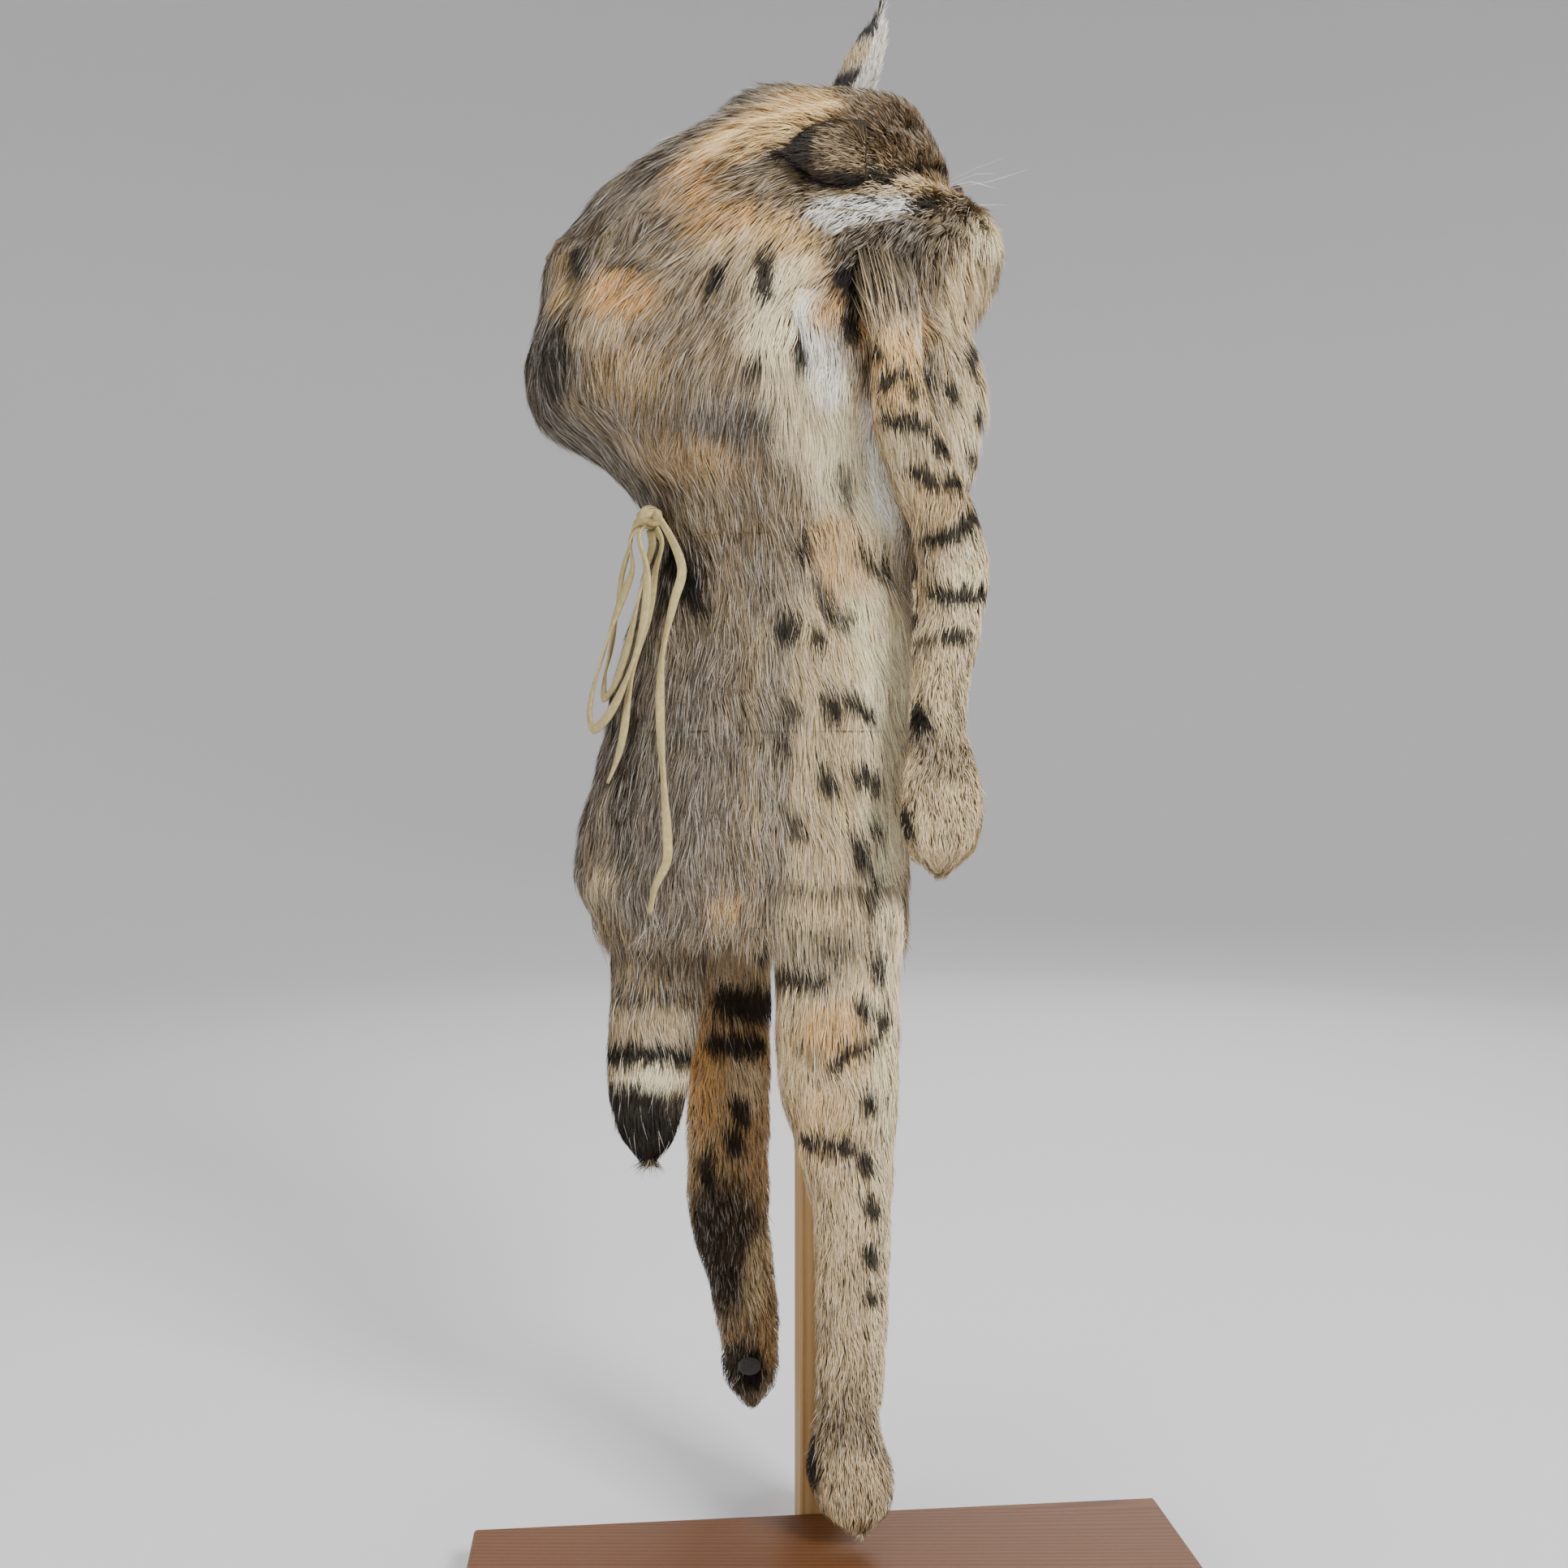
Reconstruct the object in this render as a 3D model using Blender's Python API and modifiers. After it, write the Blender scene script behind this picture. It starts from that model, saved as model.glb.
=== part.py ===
"""A fur hat made from a whole spotted cat pelt, standing on its plain wooden post.

Metres, +Z up. The origin is where the post's axis meets the floor. The cat's face and the wearer's face
look along +X, the cape hangs at -X, and -Y is the near side, which the hat is seen from.
An angle round the hat starts at the front, 0, and runs by the near side, 90, to the back, 180.
"""

import math
from collections import namedtuple

import bmesh
import bpy
from mathutils import Matrix, Vector
from mathutils.bvhtree import BVHTree

# Clearance between two pieces that touch.
SEAM_GAP = 0.0004

# Stand: a floor board with a post fixed to its back edge, and a round block that carries the crown.
BOARD_WIDTH = 0.457
BOARD_DEPTH = 0.406
BOARD_THICKNESS = 0.025
BOARD_MIDDLE = -0.005
STAND_TURN = math.radians(5.6)
POST_SIDE = 0.038
BLOCK_RADIUS = 0.050
BLOCK_THICKNESS = 0.030
STAND_EDGE = 0.0015

# Hood: the part of the pelt that is shaped over the wearer's head.
HOOD_HEIGHT = 0.306
HOOD_LENGTH = 0.314
HOOD_WIDTH = 0.236
HOOD_SQUARENESS = 2.4
PELT_WALL = 0.012
LOCK_RISE = 0.0045
HEAD_SHARE = 0.37
FACE_OPENING_WIDTH = 0.110
FACE_OPENING_DROP = 0.138
FACE_ROUNDING = 0.033
FLAP_LENGTH = 0.284
BELLY_EDGE = 0.052

# Cape: the cat's back and flanks, hanging from the hood and open towards the front.
CAPE_HEIGHT = 0.248
CAPE_LENGTH = 0.250
CAPE_WIDTH = 0.162
CAPE_SQUARENESS = 2.2
BACK_SHARE = 0.50

# Legs and tail, each a flattened sleeve of fur.
HIND_LEG_LENGTH = 0.388
FAR_HIND_LEG_LENGTH = 0.358
HIND_LEG_WIDTH = 0.082
HIND_LEG_DEPTH = 0.046
FAR_HIND_LEG_WIDTH = 0.062
FAR_HIND_LEG_DEPTH = 0.044
FORE_LEG_LENGTH = 0.346
FORE_LEG_WIDTH = 0.052
FORE_LEG_DEPTH = 0.032
SHOULDER_DROP = 0.174
TAIL_LENGTH = 0.160
TAIL_WIDTH = 0.066
TAIL_DEPTH = 0.040
SLEEVE_RISE = 0.0028
SLEEVE_SQUARENESS = 2.3
TOE_GROOVE = 0.0030
PAW_FROM = 0.90
PAD_PLACE = 0.90

# The nearer hind paw hangs this far over the board, and the crown's height follows from it.
PAW_CLEARANCE = 0.0082
CROWN_TOP = (
    BOARD_THICKNESS
    + PAW_CLEARANCE
    + HIND_LEG_LENGTH
    + SEAM_GAP
    + CAPE_HEIGHT
    + SEAM_GAP
    + HOOD_HEIGHT
)

# Small pieces of the face and paws.
EAR_HEIGHT = 0.092
EAR_WIDTH = 0.050
EAR_CUP = 0.016
EAR_THICKNESS = 0.0036
EAR_SPREAD = 0.084
EAR_FORWARD = 0.012
EAR_LEAN = 0.028
EAR_TURN = math.radians(40)
FOLDED_EAR_FORWARD = 0.022
FOLDED_EAR_LENGTH = 0.052
FOLDED_EAR_SAG = 0.008
FOLDED_EAR_DROP = 0.078
NOSE_WIDTH = 0.022
NOSE_HEIGHT = 0.015
NOSE_DEPTH = 0.012
NOSE_PLACE = 0.222
PAD_WIDTH = 0.017
PAD_HEIGHT = 0.013
PAD_THICKNESS = 0.006

# Lace: a flat buckskin thong through the nape, tied in a bow.
LACE_WIDTH = 0.0066
LACE_STRAIGHT = 1.6
KNOT_SIZE = (0.017, 0.021, 0.016)
KNOT_DROP = 0.293
KNOT_ANGLE = 150

# How finely the soft forms are divided.
HOOD_RINGS = 26
HOOD_COLUMNS = 40
CAPE_RINGS = 18
CAPE_COLUMNS = 36
SLEEVE_COLUMNS = 12
RINGS_IN_A_LOCK = 3
SLEEVE_STEP = 0.015
LACE_STEP = 0.018

# drop is a share of the height below the top, centre a share of the length ahead of the post,
# and length and width are shares of the full ones.
Section = namedtuple("Section", "drop centre length width")
HOOD_SECTIONS = [
    Section(0.000, -0.057, 0.08, 0.08),
    Section(0.010, -0.010, 0.26, 0.18),
    Section(0.040, -0.002, 0.38, 0.35),
    Section(0.085, -0.014, 0.46, 0.52),
    Section(0.137, -0.041, 0.54, 0.70),
    Section(0.207, -0.080, 0.67, 0.86),
    Section(0.247, -0.105, 0.72, 0.92),
    Section(0.304, -0.089, 0.87, 0.96),
    Section(0.350, -0.098, 0.94, 0.99),
    Section(0.402, -0.119, 0.96, 1.00),
    Section(0.490, -0.135, 0.93, 1.00),
    Section(0.577, -0.154, 0.96, 1.00),
    Section(0.665, -0.140, 1.00, 0.98),
    Section(0.736, -0.125, 0.97, 0.94),
    Section(0.807, -0.068, 0.84, 0.87),
    Section(0.912, -0.026, 0.74, 0.78),
    Section(1.000, -0.016, 0.71, 0.72),
]
CAPE_SECTIONS = [
    Section(0.000, -0.066, 0.81, 0.99),
    Section(0.152, -0.085, 0.85, 1.00),
    Section(0.348, -0.115, 0.91, 1.00),
    Section(0.565, -0.132, 0.95, 0.99),
    Section(0.783, -0.154, 0.99, 0.98),
    Section(0.913, -0.160, 1.00, 0.96),
    Section(1.000, -0.140, 0.96, 0.93),
]

# A bulge or dent: where its middle is, how far it reaches along the drop and round the hat,
# and its rise as a share of the wall. A slope of 1 leans it by the whole drop in one radian.
Fold = namedtuple("Fold", "drop angle reach_drop reach_angle rise slope")
HOOD_FOLDS = [
    Fold(0.195, 0, 0.050, 13, 0.55, 0.0),  # muzzle
    Fold(0.106, 0, 0.040, 26, 0.30, 0.0),  # brow
    Fold(0.153, 46, 0.030, 26, -0.45, 0.1),  # eye fold, near
    Fold(0.153, 314, 0.030, 26, -0.45, -0.1),  # eye fold, far
    Fold(0.205, 62, 0.035, 22, 0.60, 0.0),  # cheek, near
    Fold(0.205, 298, 0.035, 22, 0.60, 0.0),  # cheek, far
    Fold(0.262, 55, 0.022, 38, -0.55, 0.0),  # fold under the jaw, near
    Fold(0.262, 305, 0.022, 38, -0.55, 0.0),  # fold under the jaw, far
    Fold(0.283, 104, 0.060, 22, 0.65, 0.3),  # neck ruff, near
    Fold(0.283, 256, 0.060, 22, 0.65, -0.3),  # neck ruff, far
    Fold(0.376, 140, 0.020, 24, -0.75, -0.1),  # crease across the nape, near
    Fold(0.376, 220, 0.020, 24, -0.75, 0.1),  # crease across the nape, far
    Fold(0.605, 128, 0.150, 26, 0.70, 0.0),  # shoulder pouch, near
    Fold(0.605, 232, 0.150, 26, 0.70, 0.0),  # shoulder pouch, far
    Fold(0.605, 160, 0.150, 7, -0.80, 0.0),  # groove beside the spine, near
    Fold(0.605, 200, 0.150, 7, -0.80, 0.0),  # groove beside the spine, far
    Fold(0.501, 64, 0.060, 12, -0.60, 0.4),  # pit behind the shoulder, near
    Fold(0.501, 296, 0.060, 12, -0.60, -0.4),  # pit behind the shoulder, far
    Fold(0.771, 70, 0.150, 12, 0.60, 0.0),  # belly edge, near
    Fold(0.771, 290, 0.150, 12, 0.60, 0.0),  # belly edge, far
]
CAPE_FOLDS = [
    Fold(0.600, 94, 0.450, 6, -0.80, 0.0),  # valley between rump and flank, near
    Fold(0.600, 266, 0.450, 6, -0.80, 0.0),  # valley between rump and flank, far
    Fold(0.200, 120, 0.180, 8, -0.80, 0.4),  # tucked edge under the nape, near
    Fold(0.200, 240, 0.180, 8, -0.80, -0.4),  # tucked edge under the nape, far
    Fold(0.700, 108, 0.350, 10, 0.60, 0.0),  # rump, near
    Fold(0.700, 252, 0.350, 10, 0.60, 0.0),  # rump, far
    Fold(0.800, 165, 0.180, 16, 0.50, 0.0),  # hip beside the tail, near
    Fold(0.800, 195, 0.180, 16, 0.50, 0.0),  # hip beside the tail, far
    Fold(0.550, 66, 0.500, 14, 0.50, 0.0),  # flank, near
    Fold(0.550, 294, 0.500, 14, 0.50, 0.0),  # flank, far
]

# drop is a share of the sleeve's length, shift a share of its width towards the front,
# and width and depth are shares of the full ones.
SleeveSection = namedtuple("SleeveSection", "drop shift width depth")
HIND_LEG_SECTIONS = [
    SleeveSection(0.000, 0.000, 0.97, 0.80),
    SleeveSection(0.100, 0.030, 0.98, 1.00),
    SleeveSection(0.250, 0.035, 0.97, 0.98),
    SleeveSection(0.343, 0.082, 0.82, 0.88),
    SleeveSection(0.476, 0.144, 0.63, 0.78),
    SleeveSection(0.609, 0.144, 0.59, 0.72),
    SleeveSection(0.742, 0.129, 0.56, 0.72),
    SleeveSection(0.830, 0.106, 0.53, 0.74),
    SleeveSection(0.875, 0.112, 0.69, 0.84),
    SleeveSection(0.941, 0.163, 0.64, 0.86),
    SleeveSection(0.981, 0.180, 0.44, 0.56),
    SleeveSection(1.000, 0.205, 0.16, 0.20),
]
FAR_HIND_LEG_SECTIONS = [
    SleeveSection(0.000, -0.020, 0.98, 0.90),
    SleeveSection(0.150, -0.050, 0.99, 1.00),
    SleeveSection(0.300, -0.060, 0.99, 0.96),
    SleeveSection(0.450, -0.065, 0.99, 0.90),
    SleeveSection(0.618, -0.060, 0.97, 0.84),
    SleeveSection(0.700, 0.030, 0.88, 0.78),
    SleeveSection(0.781, 0.125, 0.79, 0.76),
    SleeveSection(0.863, 0.175, 0.72, 0.80),
    SleeveSection(0.930, 0.190, 0.70, 0.80),
    SleeveSection(0.972, 0.200, 0.52, 0.60),
    SleeveSection(1.000, 0.200, 0.20, 0.24),
]
FORE_LEG_SECTIONS = [
    SleeveSection(0.000, -0.160, 0.50, 0.45),
    SleeveSection(0.100, -0.140, 0.62, 0.66),
    SleeveSection(0.190, -0.070, 0.70, 0.80),
    SleeveSection(0.240, 0.050, 0.82, 0.88),
    SleeveSection(0.285, 0.190, 0.86, 0.94),
    SleeveSection(0.335, 0.350, 0.87, 1.00),
    SleeveSection(0.375, 0.480, 0.84, 1.00),
    SleeveSection(0.450, 0.590, 0.86, 0.98),
    SleeveSection(0.520, 0.560, 0.81, 0.94),
    SleeveSection(0.600, 0.505, 0.73, 0.90),
    SleeveSection(0.670, 0.435, 0.68, 0.86),
    SleeveSection(0.740, 0.390, 0.68, 0.86),
    SleeveSection(0.800, 0.430, 0.88, 0.96),
    SleeveSection(0.860, 0.440, 1.00, 1.00),
    SleeveSection(0.925, 0.440, 0.98, 1.00),
    SleeveSection(0.970, 0.440, 0.74, 0.76),
    SleeveSection(1.000, 0.440, 0.26, 0.30),
]
TAIL_SECTIONS = [
    SleeveSection(0.000, 0.000, 1.00, 0.80),
    SleeveSection(0.200, -0.010, 0.97, 1.00),
    SleeveSection(0.410, -0.050, 0.92, 1.00),
    SleeveSection(0.560, -0.100, 0.88, 0.96),
    SleeveSection(0.735, -0.115, 0.79, 0.90),
    SleeveSection(0.880, -0.115, 0.62, 0.72),
    SleeveSection(0.955, -0.110, 0.40, 0.46),
    SleeveSection(1.000, -0.105, 0.12, 0.14),
]

# Where each sleeve hangs, as shares of the cape's length and width.
HIND_LEG_SHARES = (0.014, -0.400)
FAR_HIND_LEG_SHARES = (-0.256, 0.385)
TAIL_SHARES = (-0.444, -0.130)
SHOULDER_AHEAD = 0.046

# A point of a lace lying along the pelt: fall is a share of the cape's height below its top,
# angle is round the hat, and lift is how far it stands off the pelt, in lace widths.
LacePoint = namedtuple("LacePoint", "fall angle lift")
# leaves and returns point from the knot's middle out of the pelt, round it towards the back, and down.
Strand = namedtuple("Strand", "leaves returns route")
LACE_STRANDS = {
    "lace_loop_front": Strand(
        (0.60, 0.40, 0.75),
        (0.60, -0.40, 0.75),
        [
            LacePoint(0.090, 152, 1.60),
            LacePoint(0.198, 160, 1.20),
            LacePoint(0.304, 162, 1.10),
            LacePoint(0.396, 166, 1.10),
            LacePoint(0.465, 163, 1.15),
            LacePoint(0.500, 154, 1.20),
            LacePoint(0.455, 146, 1.20),
            LacePoint(0.393, 141, 1.20),
            LacePoint(0.300, 138, 1.20),
            LacePoint(0.207, 139, 1.20),
            LacePoint(0.100, 142, 1.60),
        ],
    ),
    "lace_loop_back": Strand(
        (0.00, 1.00, 0.10),
        (-0.25, 0.35, 0.80),
        [
            LacePoint(0.040, 171, 1.10),
            LacePoint(0.090, 173, 1.30),
            LacePoint(0.178, 172, 0.80),
            LacePoint(0.283, 170, 0.20),
            LacePoint(0.360, 168, 0.10),
            LacePoint(0.415, 159, 0.10),
            LacePoint(0.360, 151, 0.10),
            LacePoint(0.260, 150, 0.10),
            LacePoint(0.100, 152, 0.20),
        ],
    ),
    "lace_end_short": Strand(
        (-0.25, -0.45, 0.80),
        None,
        [
            LacePoint(0.090, 144, 0.20),
            LacePoint(0.200, 142, 0.10),
            LacePoint(0.371, 142, 0.10),
            LacePoint(0.511, 142, 0.10),
            LacePoint(0.597, 144, 0.10),
            LacePoint(0.635, 146, 0.10),
        ],
    ),
    "lace_end_long": Strand(
        (0.20, -1.00, 0.10),
        None,
        [
            LacePoint(0.070, 130, 0.50),
            LacePoint(0.150, 130, 0.20),
            LacePoint(0.250, 130, 0.10),
            LacePoint(0.321, 129, 0.10),
            LacePoint(0.417, 127, 0.10),
            LacePoint(0.513, 125, 0.10),
            LacePoint(0.608, 122, 0.10),
            LacePoint(0.728, 118, 0.10),
            LacePoint(0.808, 116, 0.10),
            LacePoint(0.855, 117, 0.10),
            LacePoint(0.896, 120, 0.10),
            LacePoint(0.957, 124, 0.10),
        ],
    ),
}

# Colour, roughness.
FINISHES = {
    "grizzled_fur": ((0.42, 0.35, 0.26), 0.90),
    "pale_fur": ((0.66, 0.55, 0.40), 0.90),
    "dark_fur": ((0.05, 0.04, 0.035), 0.90),
    "nose_leather": ((0.16, 0.09, 0.08), 0.55),
    "pad_leather": ((0.14, 0.13, 0.13), 0.65),
    "buckskin": ((0.78, 0.66, 0.40), 0.85),
    "pine": ((0.62, 0.43, 0.22), 0.60),
    "stained_board": ((0.21, 0.08, 0.03), 0.50),
}


# Start from an empty scene.
def clear_scene():
    for thing in list(bpy.data.objects):
        bpy.data.objects.remove(thing)


def collection_named(name):
    found = bpy.data.collections.new(name)
    bpy.context.scene.collection.children.link(found)
    return found


def finish_named(name):
    material = bpy.data.materials.new(name)
    material.use_nodes = True
    colour, roughness = FINISHES[name]
    shader = material.node_tree.nodes["Principled BSDF"]
    shader.inputs["Base Color"].default_value = (*colour, 1.0)
    shader.inputs["Roughness"].default_value = roughness
    shader.inputs["Metallic"].default_value = 0.0
    material.diffuse_color = (*colour, 1.0)
    return material


# Reading the section tables.
def read_between(rows, drop, column):
    """A smooth curve through one column of a table, read at this drop."""
    drops = [row.drop for row in rows]
    values = [getattr(row, column) for row in rows]
    drop = min(max(drop, drops[0]), drops[-1])
    last = len(rows) - 1
    index = next((i for i in range(last) if drop <= drops[i + 1]), last - 1)
    span = drops[index + 1] - drops[index]
    share = (drop - drops[index]) / span

    def slope(i):
        before, after = max(i - 1, 0), min(i + 1, last)
        return (values[after] - values[before]) / (drops[after] - drops[before])

    start, end = slope(index) * span, slope(index + 1) * span
    square, cube = share * share, share * share * share
    return (
        (2 * cube - 3 * square + 1) * values[index]
        + (cube - 2 * square + share) * start
        + (3 * square - 2 * cube) * values[index + 1]
        + (cube - square) * end
    )


def on_oval(angle, half_length, half_width, squareness):
    """A point of a squared oval, ahead of its middle and away from the near side."""
    ahead, beside = math.cos(angle), math.sin(angle)
    power = 2.0 / squareness
    return (
        math.copysign(abs(ahead) ** power, ahead) * half_length,
        -math.copysign(abs(beside) ** power, beside) * half_width,
    )


def turn_between(angle, middle):
    """The signed angle from one direction to the other, in degrees."""
    return (math.degrees(angle) - middle + 180.0) % 360.0 - 180.0


def fold_rise(folds, drop, angle):
    """How far the pelt stands out from its smooth form, in metres."""
    total = 0.0
    for fold in folds:
        turn = turn_between(angle, fold.angle)
        along = (drop - fold.drop - fold.slope * math.radians(turn)) / fold.reach_drop
        across = turn / fold.reach_angle
        total += fold.rise * math.exp(-along * along - across * across)
    return total * PELT_WALL


def lock_rise(ring, column, rise):
    """Fur lies in overlapping locks: each stands out towards its tip, in staggered rows."""
    stagger = (column % 2) * RINGS_IN_A_LOCK * 0.5
    along = ((ring + stagger) % RINGS_IN_A_LOCK) / RINGS_IN_A_LOCK
    return rise * (along - 0.5)


# The smooth form of the hood and of the cape.
def hood_point(drop, angle):
    ahead, beside = on_oval(
        angle,
        read_between(HOOD_SECTIONS, drop, "length") * HOOD_LENGTH / 2,
        read_between(HOOD_SECTIONS, drop, "width") * HOOD_WIDTH / 2,
        HOOD_SQUARENESS,
    )
    centre = read_between(HOOD_SECTIONS, drop, "centre") * HOOD_LENGTH
    return Vector((centre + ahead, beside, CROWN_TOP - drop * HOOD_HEIGHT))


def cape_top():
    return CROWN_TOP - HOOD_HEIGHT - SEAM_GAP


def cape_point(drop, angle):
    ahead, beside = on_oval(
        angle,
        read_between(CAPE_SECTIONS, drop, "length") * CAPE_LENGTH / 2,
        read_between(CAPE_SECTIONS, drop, "width") * CAPE_WIDTH / 2,
        CAPE_SQUARENESS,
    )
    centre = read_between(CAPE_SECTIONS, drop, "centre") * CAPE_LENGTH
    return Vector((centre + ahead, beside, cape_top() - drop * CAPE_HEIGHT))


def hood_half_width(ahead, height):
    """How far the hood's side, with its folds, is from the middle line at this place."""
    drop = min(max((CROWN_TOP - height) / HOOD_HEIGHT, 0.0), 1.0)
    front, back = 0.0, math.pi
    for _ in range(24):
        angle = (front + back) / 2
        ahead_of = hood_point(drop, angle).x > ahead
        front, back = (angle, back) if ahead_of else (front, angle)
    return -hood_point(drop, angle).y + fold_rise(HOOD_FOLDS, drop, angle)


def widest_under(ahead, height, half_width):
    """The hood's half width under a flat piece that lies along its side."""
    return max(hood_half_width(ahead + share * half_width, height) for share in (-0.7, 0, 0.7))


def off_the_pelt(fall, angle, lift):
    """A point beside the pelt: how far below the cape's top, round the hat and off the fur it is."""
    if fall >= 0:
        drop, point, folds = fall, cape_point, CAPE_FOLDS
    else:
        drop, point, folds = 1 + fall * CAPE_HEIGHT / HOOD_HEIGHT, hood_point, HOOD_FOLDS
    rise = max(fold_rise(folds, drop, angle), 0.0) + LOCK_RISE / 2 + SEAM_GAP
    return point(drop, angle) + outward(point, drop, angle) * (rise + lift)


def crown_height(ahead, beside):
    """The height of the crown's smooth surface over a point of the floor."""
    low, high = 0.0, 0.5
    for _ in range(30):
        drop = (low + high) / 2
        half_length = read_between(HOOD_SECTIONS, drop, "length") * HOOD_LENGTH / 2
        half_width = read_between(HOOD_SECTIONS, drop, "width") * HOOD_WIDTH / 2
        centre = read_between(HOOD_SECTIONS, drop, "centre") * HOOD_LENGTH
        reach = (abs(ahead - centre) / half_length) ** HOOD_SQUARENESS
        reach += (abs(beside) / half_width) ** HOOD_SQUARENESS
        low, high = (drop, high) if reach > 1 else (low, drop)
    return CROWN_TOP - low * HOOD_HEIGHT


# Meshes.
def finished_object(name, shape, finish, collection):
    bmesh.ops.recalc_face_normals(shape, faces=shape.faces)
    mesh = bpy.data.meshes.new(name)
    shape.to_mesh(mesh)
    shape.free()
    mesh.shade_smooth()
    made = bpy.data.objects.new(name, mesh)
    collection.objects.link(made)
    if finish is not None:
        made.data.materials.append(finish)
    return made


def join_rings(shape, rings):
    """Faces between neighbouring closed rings of vertices."""
    count = len(rings[0])
    for upper, lower in zip(rings, rings[1:]):
        for i in range(count):
            after = (i + 1) % count
            shape.faces.new((upper[i], upper[after], lower[after], lower[i]))


def close_ring(shape, ring, point):
    """A fan of faces from a ring to one point."""
    tip = shape.verts.new(point)
    for i, vertex in enumerate(ring):
        shape.faces.new((vertex, ring[(i + 1) % len(ring)], tip))


def outward(point, drop, angle):
    """The unit normal of a smooth form, pointing out of it."""
    small_drop, small_angle = 0.004, 0.02
    upper, lower = max(drop - small_drop, 0.0), min(drop + small_drop, 1.0)
    down = point(lower, angle) - point(upper, angle)
    across = point(drop, angle + small_angle) - point(drop, angle - small_angle)
    return across.cross(down).normalized()


def inner_point(point, drop, angle, rise):
    """A point of the hide's inner face. Near the crown's middle it stays on its own side of it."""
    place = point(drop, angle)
    middle = (place + point(drop, angle + math.pi)) / 2
    offset = outward(point, drop, angle) * rise
    arm = place - middle
    share = 1.0 + arm.dot(Vector((offset.x, offset.y, 0.0))) / arm.length_squared
    inner = middle + arm * max(share, 0.3)
    inner.z = place.z + offset.z
    return inner


def pelt_band(name, form, first, last, finish, collection):
    """A band of pelt wall between two rings of a form: the hide inside, the fur's locks outside.
    form is (point, folds, rings, columns). The first ring of all closes over the crown, where the
    form has one, and any other first ring is a seam gap below the band above it."""
    point, folds, rings, columns = form
    crowned = first == 0 and point is hood_point
    shape = bmesh.new()
    outside, inside = [], []
    for ring in range(first, last + 1):
        drop = ring / rings
        outer_row, inner_row = [], []
        for column in range(columns):
            angle = 2 * math.pi * column / columns
            place = point(drop, angle)
            normal = outward(point, drop, angle)
            fold = fold_rise(folds, drop, angle)
            rise = fold + lock_rise(ring, column, LOCK_RISE)
            outer = place + normal * rise
            inner = inner_point(point, drop, angle, min(fold, 0.0) - PELT_WALL)
            if ring == last or (ring == first and not crowned):
                seam = SEAM_GAP if ring == first and first > 0 else 0.0
                outer.z = inner.z = place.z - seam
            outer_row.append(shape.verts.new(outer))
            inner_row.append(shape.verts.new(inner))
        outside.append(outer_row)
        inside.append(inner_row)
    join_rings(shape, outside)
    join_rings(shape, inside)
    join_rings(shape, [outside[-1], inside[-1]])
    if crowned:
        top = point(0.0, 0.0)
        middle = Vector((point(0.0, math.pi).x + top.x, 0.0, 2 * top.z)) / 2
        close_ring(shape, outside[0], middle)
        close_ring(shape, inside[0], middle - Vector((0, 0, PELT_WALL)))
    else:
        join_rings(shape, [outside[0], inside[0]])
    return finished_object(name, shape, finish, collection)


def box_cutter(name, low, high, rounding, collection):
    shape = bmesh.new()
    bmesh.ops.create_cube(shape, size=1.0)
    size = Vector(high) - Vector(low)
    middle = (Vector(high) + Vector(low)) / 2
    bmesh.ops.scale(shape, vec=size, verts=shape.verts)
    bmesh.ops.translate(shape, vec=middle, verts=shape.verts)
    cutter = finished_object(name, shape, None, collection)
    if rounding > 0:
        bevel = cutter.modifiers.new("rounding", "BEVEL")
        bevel.width = rounding
        bevel.segments = 4
    cutter.hide_render = True
    cutter.display_type = "WIRE"
    return cutter


def cut(piece, cutter):
    boolean = piece.modifiers.new("cut by " + cutter.name, "BOOLEAN")
    boolean.operation = "DIFFERENCE"
    boolean.object = cutter


def build_hood(finish, parts, cutters):
    """Returns the hood's two bands: the cat's head with the crown, and the neck and shoulders."""
    form = (hood_point, HOOD_FOLDS, HOOD_RINGS, HOOD_COLUMNS)
    seam = round(HEAD_SHARE * HOOD_RINGS)
    head = pelt_band("hood_head", form, 0, seam, finish, parts)
    neck = pelt_band("hood_neck", form, seam, HOOD_RINGS, finish, parts)
    bottom = CROWN_TOP - HOOD_HEIGHT
    half_opening = FACE_OPENING_WIDTH / 2
    face = box_cutter(
        "face_opening",
        (BELLY_EDGE / 2, -half_opening, bottom - HOOD_HEIGHT),
        (HOOD_LENGTH, half_opening, CROWN_TOP - FACE_OPENING_DROP),
        FACE_ROUNDING,
        cutters,
    )
    flaps = box_cutter(
        "below_the_flaps",
        (BELLY_EDGE, -HOOD_WIDTH, bottom - HOOD_HEIGHT),
        (HOOD_LENGTH, HOOD_WIDTH, CROWN_TOP - FLAP_LENGTH),
        0.0,
        cutters,
    )
    cut(neck, face)
    cut(neck, flaps)
    return head, neck


def build_cape(finish, parts, cutters):
    """Two bands, the back under the nape and the rump over the legs, open towards the front."""
    form = (cape_point, CAPE_FOLDS, CAPE_RINGS, CAPE_COLUMNS)
    seam = round(BACK_SHARE * CAPE_RINGS)
    back = pelt_band("cape_back", form, 0, seam, finish, parts)
    rump = pelt_band("cape_rump", form, seam, CAPE_RINGS, finish, parts)
    bottom = cape_top() - CAPE_HEIGHT
    front = box_cutter(
        "cape_front",
        (BELLY_EDGE, -CAPE_WIDTH, bottom - CAPE_HEIGHT),
        (BELLY_EDGE + CAPE_LENGTH, CAPE_WIDTH, cape_top() + CAPE_HEIGHT),
        0.0,
        cutters,
    )
    cut(back, front)
    cut(rump, front)


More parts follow.
